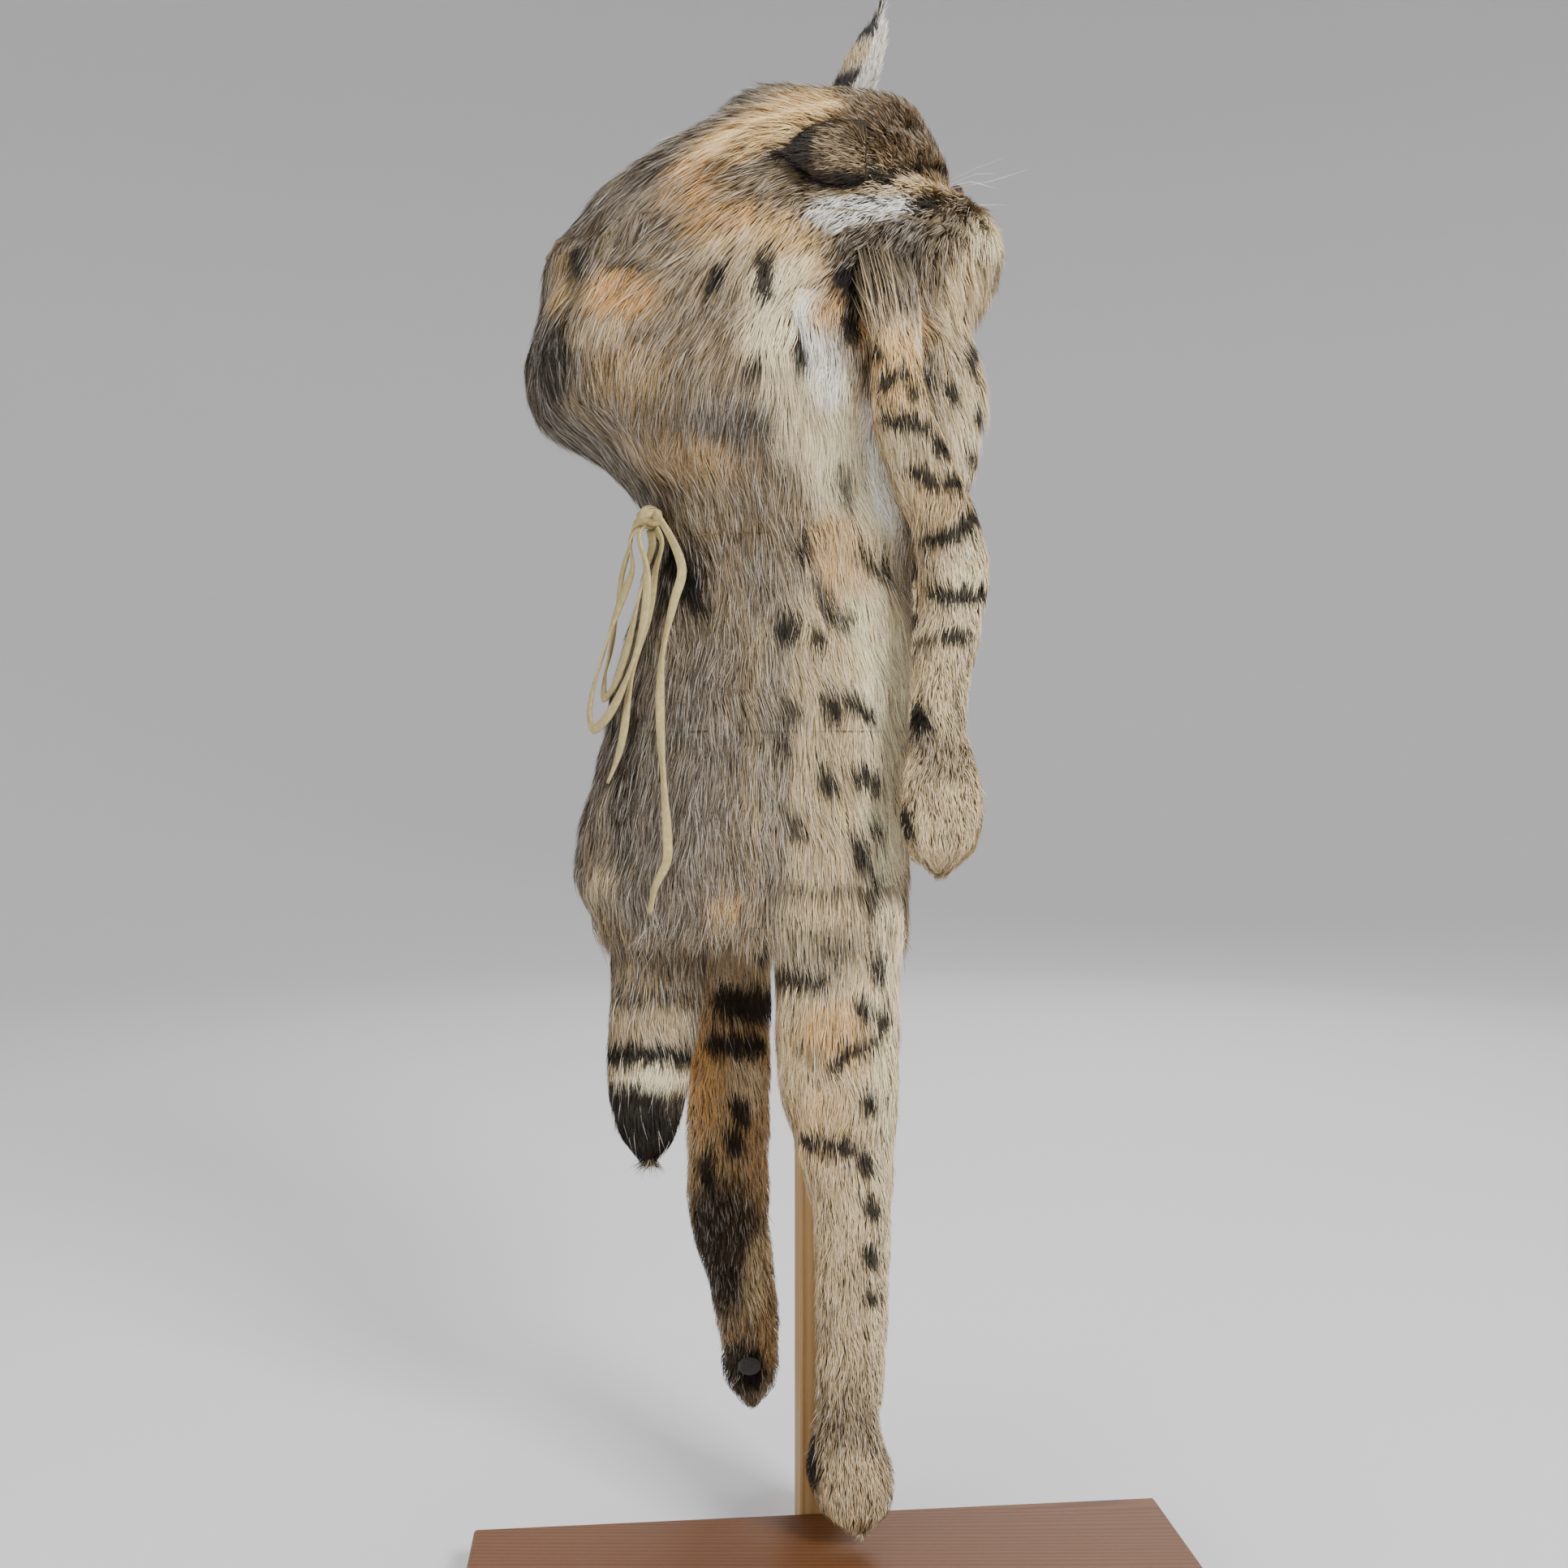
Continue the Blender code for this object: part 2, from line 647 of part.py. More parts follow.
def sleeve(name, sections, size, middle_of, finish, collection, has_paw=True):
    """A closed sleeve of fur. size is its length, width and depth, and middle_of gives its centre
    line at a drop and shift. A leg's end is a paw, grooved between its toes."""
    length, width, depth = size
    shape = bmesh.new()
    rings = []
    count = round(length / SLEEVE_STEP)
    for ring in range(count + 1):
        drop = ring / count
        half_width = read_between(sections, drop, "width") * width / 2
        half_depth = read_between(sections, drop, "depth") * depth / 2
        middle = middle_of(drop, read_between(sections, drop, "shift") * width)
        row = []
        for column in range(SLEEVE_COLUMNS):
            angle = 2 * math.pi * column / SLEEVE_COLUMNS
            if has_paw and drop >= PAW_FROM:
                rise = -TOE_GROOVE * (column % 2)
            elif ring in (0, count):
                rise = 0.0
            else:
                rise = lock_rise(ring, column, SLEEVE_RISE)
            ahead, beside = on_oval(angle, half_width + rise, half_depth + rise, SLEEVE_SQUARENESS)
            row.append(shape.verts.new(middle + Vector((ahead, beside, 0.0))))
        rings.append(row)
    join_rings(shape, rings)
    shape.faces.new(rings[0])
    shape.faces.new(rings[-1])
    bmesh.ops.triangulate(shape, faces=[f for f in shape.faces if len(f.verts) > 4])
    return finished_object(name, shape, finish, collection)


def hanging_from_cape(place, length):
    """The centre line of a sleeve that hangs straight down from the cape's lower edge."""
    ahead, beside = place[0] * CAPE_LENGTH, place[1] * CAPE_WIDTH
    top = cape_top() - CAPE_HEIGHT - SEAM_GAP

    def middle_of(drop, shift):
        return Vector((ahead + shift, beside, top - drop * length))

    return middle_of


def lying_on_hood(side):
    """The centre line of a fore leg: against the hood's flap, then hanging free below it."""
    shoulder = CROWN_TOP - SHOULDER_DROP
    flap_end = CROWN_TOP - FLAP_LENGTH
    clear = 2 * LOCK_RISE

    def middle_of(drop, shift):
        height = shoulder - drop * FORE_LEG_LENGTH
        ahead = SHOULDER_AHEAD + shift
        half_width = read_between(FORE_LEG_SECTIONS, drop, "width") * FORE_LEG_WIDTH / 2
        half_depth = read_between(FORE_LEG_SECTIONS, drop, "depth") * FORE_LEG_DEPTH / 2
        against = widest_under(ahead, max(height, flap_end), half_width)
        beside = against + clear + half_depth
        return Vector((ahead, side * beside, height))

    return middle_of


def build_legs_and_tail(neck, finish, parts):
    """Returns what each leg's pad needs."""
    hind = (HIND_LEG_LENGTH, HIND_LEG_WIDTH, HIND_LEG_DEPTH)
    far_hind = (FAR_HIND_LEG_LENGTH, FAR_HIND_LEG_WIDTH, FAR_HIND_LEG_DEPTH)
    fore = (FORE_LEG_LENGTH, FORE_LEG_WIDTH, FORE_LEG_DEPTH)
    near_line = hanging_from_cape(HIND_LEG_SHARES, HIND_LEG_LENGTH)
    far_line = hanging_from_cape(FAR_HIND_LEG_SHARES, FAR_HIND_LEG_LENGTH)
    # inward is the way, along Y, from a leg to the hat's middle.
    Leg = namedtuple("Leg", "sections size line inward")
    kinds = {
        "hind_leg_near": Leg(HIND_LEG_SECTIONS, hind, near_line, 1),
        "hind_leg_far": Leg(FAR_HIND_LEG_SECTIONS, far_hind, far_line, -1),
        "fore_leg_near": Leg(FORE_LEG_SECTIONS, fore, lying_on_hood(-1), 1),
        "fore_leg_far": Leg(FORE_LEG_SECTIONS, fore, lying_on_hood(1), -1),
    }
    legs = {}
    for name, kind in kinds.items():
        leg = sleeve(name, kind.sections, kind.size, kind.line, finish, parts)
        moved = Vector()
        if kind.size == fore:
            moved = seat(leg, neck, Vector((0, kind.inward, 0)), FORE_LEG_DEPTH)
        legs[name] = (leg, kind, moved)
    tail_line = hanging_from_cape(TAIL_SHARES, TAIL_LENGTH)
    size = (TAIL_LENGTH, TAIL_WIDTH, TAIL_DEPTH)
    sleeve("tail", TAIL_SECTIONS, size, tail_line, finish, parts, has_paw=False)
    return legs


def ear_leaf(name, place, finish, collection):
    """A cupped leaf of hide and fur. place(across, along, out) is a point of it: across runs from
    -1 to 1, and out is the height above the leaf's middle sheet."""
    rows, columns = 8, 6
    shape = bmesh.new()
    rings = []
    for row in range(rows + 1):
        along = row / rows
        ring = []
        for step in range(2 * columns):
            outer = step <= columns
            across = 2 * step / columns - 1 if outer else 3 - 2 * step / columns
            out = EAR_THICKNESS / 2 * (1 - across**2) ** 0.5 * (1 - 0.5 * along)
            ring.append(shape.verts.new(place(across, along, out if outer else -out)))
        rings.append(ring)
    join_rings(shape, rings)
    shape.faces.new(rings[0])
    shape.faces.new(rings[-1])
    bmesh.ops.triangulate(shape, faces=[f for f in shape.faces if len(f.verts) > 4])
    return finished_object(name, shape, finish, collection)


def leaf_width(along):
    """An ear's width towards its tip, which ends in a thin tuft."""
    body = math.sqrt(max(1 - (along / 0.86) ** 2, 0.0)) * (0.86 + 0.35 * along)
    return max(body, 0.16 * (1.4 - along))


def build_ears(head, finish, parts):
    beside = EAR_SPREAD / 2
    clear = PELT_WALL
    tip_height = crown_height(EAR_FORWARD, beside) + clear + EAR_HEIGHT
    turn = Matrix.Rotation(EAR_TURN, 2)

    def upright(across, along, out):
        """Standing on the crown, open towards the front and the outside."""
        half = EAR_WIDTH / 2 * leaf_width(along) * across
        cup = EAR_CUP * (1 - across * across) * leaf_width(along) ** 1.5
        ahead, aside = turn @ Vector((out - cup, half))
        foot = crown_height(EAR_FORWARD + ahead, beside + aside) + clear
        height = foot + (tip_height - foot) * along
        return Vector((EAR_FORWARD + ahead + EAR_LEAN * along, beside + aside, height))

    def folded(across, along, out):
        """Pressed flat against the side of the head, its tip towards the back."""
        half = EAR_WIDTH / 2 * leaf_width(along) * across
        root_height = CROWN_TOP - FOLDED_EAR_DROP
        tip_height = root_height - FOLDED_EAR_SAG
        height = root_height - FOLDED_EAR_SAG * along + half
        ahead = FOLDED_EAR_FORWARD - FOLDED_EAR_LENGTH * along
        # The sheet is flat between the head's half widths at its root, its tip and its two edges.
        root = hood_half_width(FOLDED_EAR_FORWARD, root_height)
        tip = hood_half_width(FOLDED_EAR_FORWARD - FOLDED_EAR_LENGTH, tip_height)
        middle = FOLDED_EAR_FORWARD - FOLDED_EAR_LENGTH / 2
        upper = hood_half_width(middle, root_height + EAR_WIDTH / 2)
        lower = hood_half_width(middle, root_height - EAR_WIDTH / 2)
        aside = root + (tip - root) * along + (upper - lower) * half / EAR_WIDTH
        lift = 2 * clear + EAR_CUP / 5 * (1 - across * across) * leaf_width(along)
        return Vector((ahead, -aside - lift - out, height))

    far = ear_leaf("ear_far", upright, finish, parts)
    seat(far, head, Vector((0, 0, -1)), 2 * EAR_WIDTH)
    near = ear_leaf("ear_near", folded, finish, parts)
    seat(near, head, Vector((0, 1, 0)), 4 * clear)


def rounded_lump(name, middle, size, finish, collection, segments=10):
    shape = bmesh.new()
    rings = segments // 2 + 1
    bmesh.ops.create_uvsphere(shape, u_segments=segments, v_segments=rings, radius=0.5)
    bmesh.ops.scale(shape, vec=size, verts=shape.verts)
    bmesh.ops.translate(shape, vec=middle, verts=shape.verts)
    return finished_object(name, shape, finish, collection)


def seat(piece, against, direction, reach):
    """Slides a piece towards another until only the seam gap is left between their surfaces."""
    other = BVHTree.FromObject(against, bpy.context.evaluated_depsgraph_get())
    vertices = piece.data.vertices
    grown = [vertex.co + vertex.normal * SEAM_GAP for vertex in vertices]
    faces = [tuple(face.vertices) for face in piece.data.polygons]
    clear, touching = 0.0, reach
    for _ in range(16):
        travel = (clear + touching) / 2
        moved = [place + direction * travel for place in grown]
        if BVHTree.FromPolygons(moved, faces).overlap(other):
            touching = travel
        else:
            clear = travel
    piece.data.transform(Matrix.Translation(direction * clear))
    return direction * clear


def build_nose(head, finish, parts):
    surface = hood_point(NOSE_PLACE, 0.0)
    ahead = surface.x + fold_rise(HOOD_FOLDS, NOSE_PLACE, 0.0) + 2 * NOSE_DEPTH
    middle = Vector((ahead, 0.0, surface.z))
    nose = rounded_lump("nose", middle, (NOSE_DEPTH, NOSE_WIDTH, NOSE_HEIGHT), finish, parts)
    seat(nose, head, Vector((-1, 0, 0)), 3 * NOSE_DEPTH)


def build_pads(legs, finish, parts):
    """The main pad of each paw, on the side that faces the wearer's middle line."""
    for name, (leg, kind, moved) in legs.items():
        shift = read_between(kind.sections, PAD_PLACE, "shift") * kind.size[1]
        middle = kind.line(PAD_PLACE, shift) + moved
        half_depth = read_between(kind.sections, PAD_PLACE, "depth") * kind.size[2] / 2
        middle.y += kind.inward * (half_depth + 2 * PAD_THICKNESS)
        size = (PAD_WIDTH, PAD_THICKNESS, PAD_HEIGHT)
        pad = rounded_lump(name.replace("leg", "pad"), middle, size, finish, parts, 8)
        seat(pad, leg, Vector((0, -kind.inward, 0)), 3 * PAD_THICKNESS)


# Lace.
def smooth_route(points, step):
    """Points about one step apart on a smooth curve through the route's own points."""
    points = [Vector(p) for p in points]
    ends = [2 * points[0] - points[1], *points, 2 * points[-1] - points[-2]]
    fine = []
    for before, start, end, after in zip(ends, ends[1:], ends[2:], ends[3:]):
        for i in range(12):
            t = i / 12
            fine.append(
                0.5
                * (
                    2 * start
                    + (end - before) * t
                    + (2 * before - 5 * start + 4 * end - after) * t**2
                    + (3 * start - before - 3 * end + after) * t**3
                )
            )
    fine.append(points[-1])
    lengths = [0.0]
    for here, there in zip(fine, fine[1:]):
        lengths.append(lengths[-1] + (there - here).length)
    count = max(round(lengths[-1] / step), 4)
    route, at = [], 0
    for i in range(count + 1):
        wanted = lengths[-1] * i / count
        while at < len(fine) - 2 and lengths[at + 1] < wanted:
            at += 1
        span = lengths[at + 1] - lengths[at]
        route.append(fine[at].lerp(fine[at + 1], (wanted - lengths[at]) / span))
    return route


def lace_strand(name, route, finish, collection):
    curve = bpy.data.curves.new(name, "CURVE")
    curve.dimensions = "3D"
    curve.bevel_depth = LACE_WIDTH / 2
    curve.bevel_resolution = 2
    curve.use_fill_caps = True
    spline = curve.splines.new("POLY")
    spline.points.add(len(route) - 1)
    for point, place in zip(spline.points, route):
        point.co = (*place, 1.0)
    strand = bpy.data.objects.new(name, curve)
    curve.materials.append(finish)
    collection.objects.link(strand)
    return strand


def build_knot(neck, finish, parts):
    """Returns the knot's middle, and its own directions: out of the pelt, towards the back, and down."""
    angle = math.radians(KNOT_ANGLE)
    drop = KNOT_DROP / HOOD_HEIGHT
    out = outward(hood_point, drop, angle)
    out.z = 0.0
    out.normalize()
    down = Vector((0, 0, -1))
    turn = Matrix((out, down.cross(out), down)).transposed()
    middle = hood_point(drop, angle) + out * (PELT_WALL + KNOT_SIZE[0] / 2)
    knot = rounded_lump("lace_knot", Vector(), KNOT_SIZE, finish, parts, 12)
    knot.data.transform(Matrix.Translation(middle) @ turn.to_4x4())
    return middle + seat(knot, neck, -out, 2 * PELT_WALL), turn


def leaving_the_knot(middle, turn, side):
    """Two points of a strand that meets the knot squarely: its end face, and a place further out."""
    halves = [size / 2 for size in KNOT_SIZE]
    reach = 1 / math.sqrt(sum((part / half) ** 2 for part, half in zip(side, halves)))
    surface = Vector(side) * reach
    normal = Vector(part / half**2 for part, half in zip(surface, halves)).normalized()
    start = middle + turn @ (surface + normal * SEAM_GAP)
    return start, start + turn @ normal * LACE_WIDTH * LACE_STRAIGHT


def build_lace(neck, finish, parts):
    middle, turn = build_knot(neck, finish, parts)
    for name, strand in LACE_STRANDS.items():
        start, onward = leaving_the_knot(middle, turn, strand.leaves)
        places = [onward]
        for row in strand.route:
            lift = (0.5 + row.lift) * LACE_WIDTH
            places.append(off_the_pelt(row.fall, math.radians(row.angle), lift))
        end = []
        if strand.returns:
            finish_place, before = leaving_the_knot(middle, turn, strand.returns)
            places.append(before)
            end = [finish_place]
        route = [start, *smooth_route(places, LACE_STEP), *end]
        lace_strand(name, route, finish, parts)


# Stand.
def block(name, low, high, finish, collection):
    shape = bmesh.new()
    bmesh.ops.create_cube(shape, size=1.0)
    size = Vector(high) - Vector(low)
    middle = (Vector(high) + Vector(low)) / 2
    bmesh.ops.scale(shape, vec=size, verts=shape.verts)
    bmesh.ops.translate(shape, vec=middle, verts=shape.verts)
    made = finished_object(name, shape, finish, collection)
    bevel = made.modifiers.new("eased edges", "BEVEL")
    bevel.width = STAND_EDGE
    bevel.segments = 1
    return made


def build_stand(head, pine, stained, parts):
    half = POST_SIDE / 2
    turn = Matrix.Rotation(STAND_TURN, 4, "Z")
    low = CROWN_TOP - PELT_WALL - 2 * BLOCK_THICKNESS
    size = (2 * BLOCK_RADIUS, 2 * BLOCK_RADIUS, BLOCK_THICKNESS)
    middle = Vector((0.0, 0.0, low + BLOCK_THICKNESS / 2))
    hat_block = rounded_lump("hat_block", middle, size, pine, parts, 14)
    moved = seat(hat_block, head, Vector((0, 0, 1)), 2 * BLOCK_THICKNESS)
    post_top = low + moved.z - SEAM_GAP
    post = block("post", (-half, -half, 0.0), (half, half, post_top), pine, parts)
    post.data.transform(turn)

    left, right = BOARD_MIDDLE - BOARD_WIDTH / 2, BOARD_MIDDLE + BOARD_WIDTH / 2
    back = -half - SEAM_GAP
    corners = (left, back - BOARD_DEPTH, 0.0), (right, back, BOARD_THICKNESS)
    board = block("board", *corners, stained, parts)
    board.data.transform(turn)


def main():
    clear_scene()
    parts = collection_named("fur_hat_on_post")
    cutters = collection_named("cutters")
    finishes = {name: finish_named(name) for name in FINISHES}
    head, neck = build_hood(finishes["grizzled_fur"], parts, cutters)
    build_cape(finishes["grizzled_fur"], parts, cutters)
    legs = build_legs_and_tail(neck, finishes["pale_fur"], parts)
    build_ears(head, finishes["dark_fur"], parts)
    build_nose(head, finishes["nose_leather"], parts)
    build_pads(legs, finishes["pad_leather"], parts)
    build_lace(neck, finishes["buckskin"], parts)
    build_stand(head, finishes["pine"], finishes["stained_board"], parts)


main()
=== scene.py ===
"""Dresses the spotted fur hat: fur on every pelt piece, a suede lace, leather nose and pads, a wooden stand.

Metres, in the CAD model's own frame: +X is where the cat's face looks, -Y the near side, +Z up.
"""

import math

import bmesh
import bpy
import numpy as np
from mathutils import Matrix, Vector
from mathutils.bvhtree import BVHTree
from mathutils.kdtree import KDTree


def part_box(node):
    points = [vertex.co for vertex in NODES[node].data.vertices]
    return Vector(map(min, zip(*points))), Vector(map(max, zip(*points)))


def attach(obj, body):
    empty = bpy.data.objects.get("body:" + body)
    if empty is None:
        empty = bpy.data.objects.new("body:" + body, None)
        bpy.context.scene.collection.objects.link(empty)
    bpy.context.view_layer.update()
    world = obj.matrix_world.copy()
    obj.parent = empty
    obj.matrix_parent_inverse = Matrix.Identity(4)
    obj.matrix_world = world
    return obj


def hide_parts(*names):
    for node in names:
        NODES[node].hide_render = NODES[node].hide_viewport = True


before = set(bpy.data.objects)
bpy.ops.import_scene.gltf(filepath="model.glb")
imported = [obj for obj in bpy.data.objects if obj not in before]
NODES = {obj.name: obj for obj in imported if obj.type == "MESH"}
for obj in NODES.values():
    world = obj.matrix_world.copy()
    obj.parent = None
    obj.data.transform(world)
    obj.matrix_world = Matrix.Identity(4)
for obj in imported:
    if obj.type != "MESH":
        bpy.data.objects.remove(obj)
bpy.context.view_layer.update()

# The side view of the hat is charted on a grid of this size, from its top left corner.
# The eye is where the chart is drawn from, in metres, and MIDDLE and LEVEL are the chart's place of the eye.
CHART_UNIT = 0.00055
EYE = Vector((-0.028, -1.05, 0.522))
MIDDLE, LEVEL = 966.0, 947.0
PICTURE_SIDE = 1932.0
SENSOR = 36.0


# Camera.
def build_camera():
    lens_in_chart = -EYE.y / CHART_UNIT
    data = bpy.data.cameras.new("camera")
    data.sensor_width = SENSOR
    data.lens = SENSOR * lens_in_chart / PICTURE_SIDE
    camera = bpy.data.objects.new("camera", data)
    camera.location = EYE
    dip = math.atan((PICTURE_SIDE / 2 - LEVEL) / lens_in_chart)
    camera.rotation_euler = (math.pi / 2 - dip, 0, 0)
    bpy.context.scene.collection.objects.link(camera)
    bpy.context.scene.camera = camera


build_camera()

# Colours, as the eye sees them, from 0 to 255.
TINTS = {
    "agouti": (150, 130, 100),
    "grey": (138, 126, 110),
    "dark_grizzle": (92, 79, 62),
    "dark": (52, 44, 36),
    "black": (26, 23, 21),
    "brown": (112, 86, 56),
    "umber": (66, 52, 38),
    "rust": (188, 142, 84),
    "orange": (214, 166, 100),
    "straw": (224, 188, 130),
    "tan": (200, 164, 112),
    "sand": (212, 190, 148),
    "cream": (238, 220, 182),
    "white": (244, 240, 230),
    "under": (150, 134, 110),
}


def linear(tint):
    """A tint's name or three numbers, as the renderer counts colour."""
    values = np.array(TINTS[tint] if isinstance(tint, str) else tint, dtype=float) / 255.0
    return np.where(values <= 0.04045, values / 12.92, ((values + 0.055) / 1.055) ** 2.4)


# Shader groups that more than one material uses.
def new_group(name, inputs, outputs):
    group = bpy.data.node_groups.new(name, "ShaderNodeTree")
    for label, kind, value in inputs:
        socket = group.interface.new_socket(name=label, in_out="INPUT", socket_type=kind)
        if value is not None:
            socket.default_value = value
    for label, kind in outputs:
        group.interface.new_socket(name=label, in_out="OUTPUT", socket_type=kind)
    return group


def set_inputs(made, **values):
    for label, value in values.items():
        made.inputs[label.replace("_", " ")].default_value = value


def node(tree, kind, inputs=None, **settings):
    """A new node with its settings, and with values for its inputs."""
    made = tree.nodes.new(kind)
    for key, value in settings.items():
        setattr(made, key, value)
    set_inputs(made, **(inputs or {}))
    return made


def wire(tree, *links):
    """Each link: a node and its output, then the node and the input it goes to."""
    for source, output, target, socket in links:
        tree.links.new(source.outputs[output], target.inputs[socket])


COLOUR, NUMBER, DIRECTION = "NodeSocketColor", "NodeSocketFloat", "NodeSocketVector"


def build_mottle():
    """Uneven colour: a tint grows lighter and darker in patches of a size."""
    group = new_group(
        "mottle",
        [("Colour", COLOUR, None), ("Size", NUMBER, 200.0), ("Amount", NUMBER, 0.2)],
        [("Colour", COLOUR)],
    )
    start, end = node(group, "NodeGroupInput"), node(group, "NodeGroupOutput")
    place = node(group, "ShaderNodeTexCoord")
    noise = node(group, "ShaderNodeTexNoise", dict(Detail=3.0, Roughness=0.6))
    spread = node(group, "ShaderNodeMapRange", dict(From_Min=0.3, From_Max=0.7))
    low = node(group, "ShaderNodeMath", operation="SUBTRACT")
    high = node(group, "ShaderNodeMath", operation="ADD")
    low.inputs[0].default_value = high.inputs[0].default_value = 1.0
    hue = node(group, "ShaderNodeHueSaturation")
    wire(
        group,
        (place, "Object", noise, "Vector"),
        (start, "Size", noise, "Scale"),
        (noise, "Fac", spread, "Value"),
        (start, "Amount", low, 1),
        (start, "Amount", high, 1),
        (low, 0, spread, "To Min"),
        (high, 0, spread, "To Max"),
        (spread, "Result", hue, "Value"),
        (start, "Colour", hue, "Color"),
        (hue, "Color", end, "Colour"),
    )
    return group


def build_grain():
    """Wood grain along Z or X: long streaks, growth rings and fine pores, and a height for a bump."""
    group = new_group(
        "grain",
        [
            ("Stretch", DIRECTION, (1.0, 1.0, 1.0)),
            ("Ring Size", NUMBER, 60.0),
            ("Pale", COLOUR, None),
            ("Dark", COLOUR, None),
        ],
        [("Colour", COLOUR), ("Height", NUMBER)],
    )
    start, end = node(group, "NodeGroupInput"), node(group, "NodeGroupOutput")
    place = node(group, "ShaderNodeTexCoord")
    stretch = node(group, "ShaderNodeVectorMath", operation="MULTIPLY")
    wander = node(group, "ShaderNodeTexNoise", dict(Scale=6.0, Detail=3.0))
    shift = node(group, "ShaderNodeVectorMath", operation="SCALE")
    set_inputs(shift, Scale=0.05)
    wandering = node(group, "ShaderNodeVectorMath", operation="ADD")
    rings = node(group, "ShaderNodeTexWave", wave_type="RINGS", rings_direction="Z")
    set_inputs(rings, Distortion=2.5, Detail=2.0)
    pores = node(group, "ShaderNodeTexNoise", dict(Scale=420.0, Detail=4.0, Roughness=0.7))
    both = node(group, "ShaderNodeMath", operation="MULTIPLY")
    mix = node(group, "ShaderNodeMix", data_type="RGBA")
    wire(
        group,
        (place, "Object", stretch, 0),
        (start, "Stretch", stretch, 1),
        (stretch, 0, wander, "Vector"),
        (wander, "Color", shift, 0),
        (stretch, 0, wandering, 0),
        (shift, 0, wandering, 1),
        (wandering, 0, rings, "Vector"),
        (start, "Ring Size", rings, "Scale"),
        (stretch, 0, pores, "Vector"),
        (rings, "Fac", both, 0),
        (pores, "Fac", both, 1),
        (both, 0, mix, "Factor"),
        (start, "Pale", mix, "A"),
        (start, "Dark", mix, "B"),
        (mix, "Result", end, "Colour"),
        (pores, "Fac", end, "Height"),
    )
    return group


MOTTLE = build_mottle()
GRAIN = build_grain()
PEBBLES_PER_PATCH = 9.0
PORE_DEPTH, PORE_STRENGTH = 0.0004, 0.6


def new_material(name):
    material = bpy.data.materials.new(name)
    material.use_nodes = True
    tree = material.node_tree
    return material, tree, tree.nodes["Principled BSDF"]


def flat_colour(tint):
    return (*linear(tint), 1.0)


def add_bump(tree, shader, source, output, distance, strength=1.0):
    bump = node(tree, "ShaderNodeBump", dict(Distance=distance, Strength=strength))
    wire(tree, (source, output, bump, "Height"), (bump, "Normal", shader, "Normal"))


def fur_material(name, size, amount, roughness):
    """Hair or underfur: each point's own coat colour, a little uneven."""
    material, tree, shader = new_material(name)
    coat = node(tree, "ShaderNodeAttribute", attribute_name="coat")
    mottle = node(tree, "ShaderNodeGroup", node_tree=MOTTLE)
    set_inputs(mottle, Size=size, Amount=amount)
    wire(tree, (coat, "Color", mottle, "Colour"), (mottle, "Colour", shader, "Base Color"))
    set_inputs(shader, Roughness=roughness, Specular_IOR_Level=0.25)
    return material


def leather_material(name, tint, size, roughness, depth, amount=0.18):
    """Mottled skin with a fine pebble in relief."""
    material, tree, shader = new_material(name)
    mottle = node(tree, "ShaderNodeGroup", node_tree=MOTTLE)
    set_inputs(mottle, Size=size, Amount=amount, Colour=flat_colour(tint))
    pebble = node(tree, "ShaderNodeTexVoronoi", dict(Scale=size * PEBBLES_PER_PATCH))
    wire(tree, (mottle, "Colour", shader, "Base Color"))
    set_inputs(shader, Roughness=roughness, Specular_IOR_Level=0.3)
    add_bump(tree, shader, pebble, "Distance", depth)
    return material


def add_scratches(tree, source, output, tint):
    """Long pale scratches over a colour. Gives the node and the output that carry the result."""
    place = node(tree, "ShaderNodeTexCoord")
    turned = node(tree, "ShaderNodeMapping", dict(Rotation=(0.0, 0.0, 0.22), Scale=(6.0, 130.0, 1.0)))
    marks = node(tree, "ShaderNodeTexNoise", dict(Scale=1.6, Detail=6.0, Roughness=0.75))
    narrow = node(tree, "ShaderNodeMapRange", dict(From_Min=0.66, From_Max=0.74))
    worn = node(tree, "ShaderNodeMix", data_type="RGBA")
    set_inputs(worn, B=flat_colour(tint))
    wire(
        tree,
        (place, "Object", turned, "Vector"),
        (turned, "Vector", marks, "Vector"),
        (marks, "Fac", narrow, "Value"),
        (narrow, "Result", worn, "Factor"),
        (source, output, worn, "A"),
    )
    return worn, "Result"


def wood_material(name, pale, dark, stretch, ring_size, roughness, scratches=None):
    material, tree, shader = new_material(name)
    grain = node(tree, "ShaderNodeGroup", node_tree=GRAIN)
    set_inputs(grain, Ring_Size=ring_size, Stretch=stretch, Pale=flat_colour(pale), Dark=flat_colour(dark))
    source, output = grain, "Colour"
    if scratches:
        source, output = add_scratches(tree, grain, "Colour", scratches)
    wire(tree, (source, output, shader, "Base Color"))
    set_inputs(shader, Roughness=roughness)
    add_bump(tree, shader, grain, "Height", PORE_DEPTH, PORE_STRENGTH)
    return material


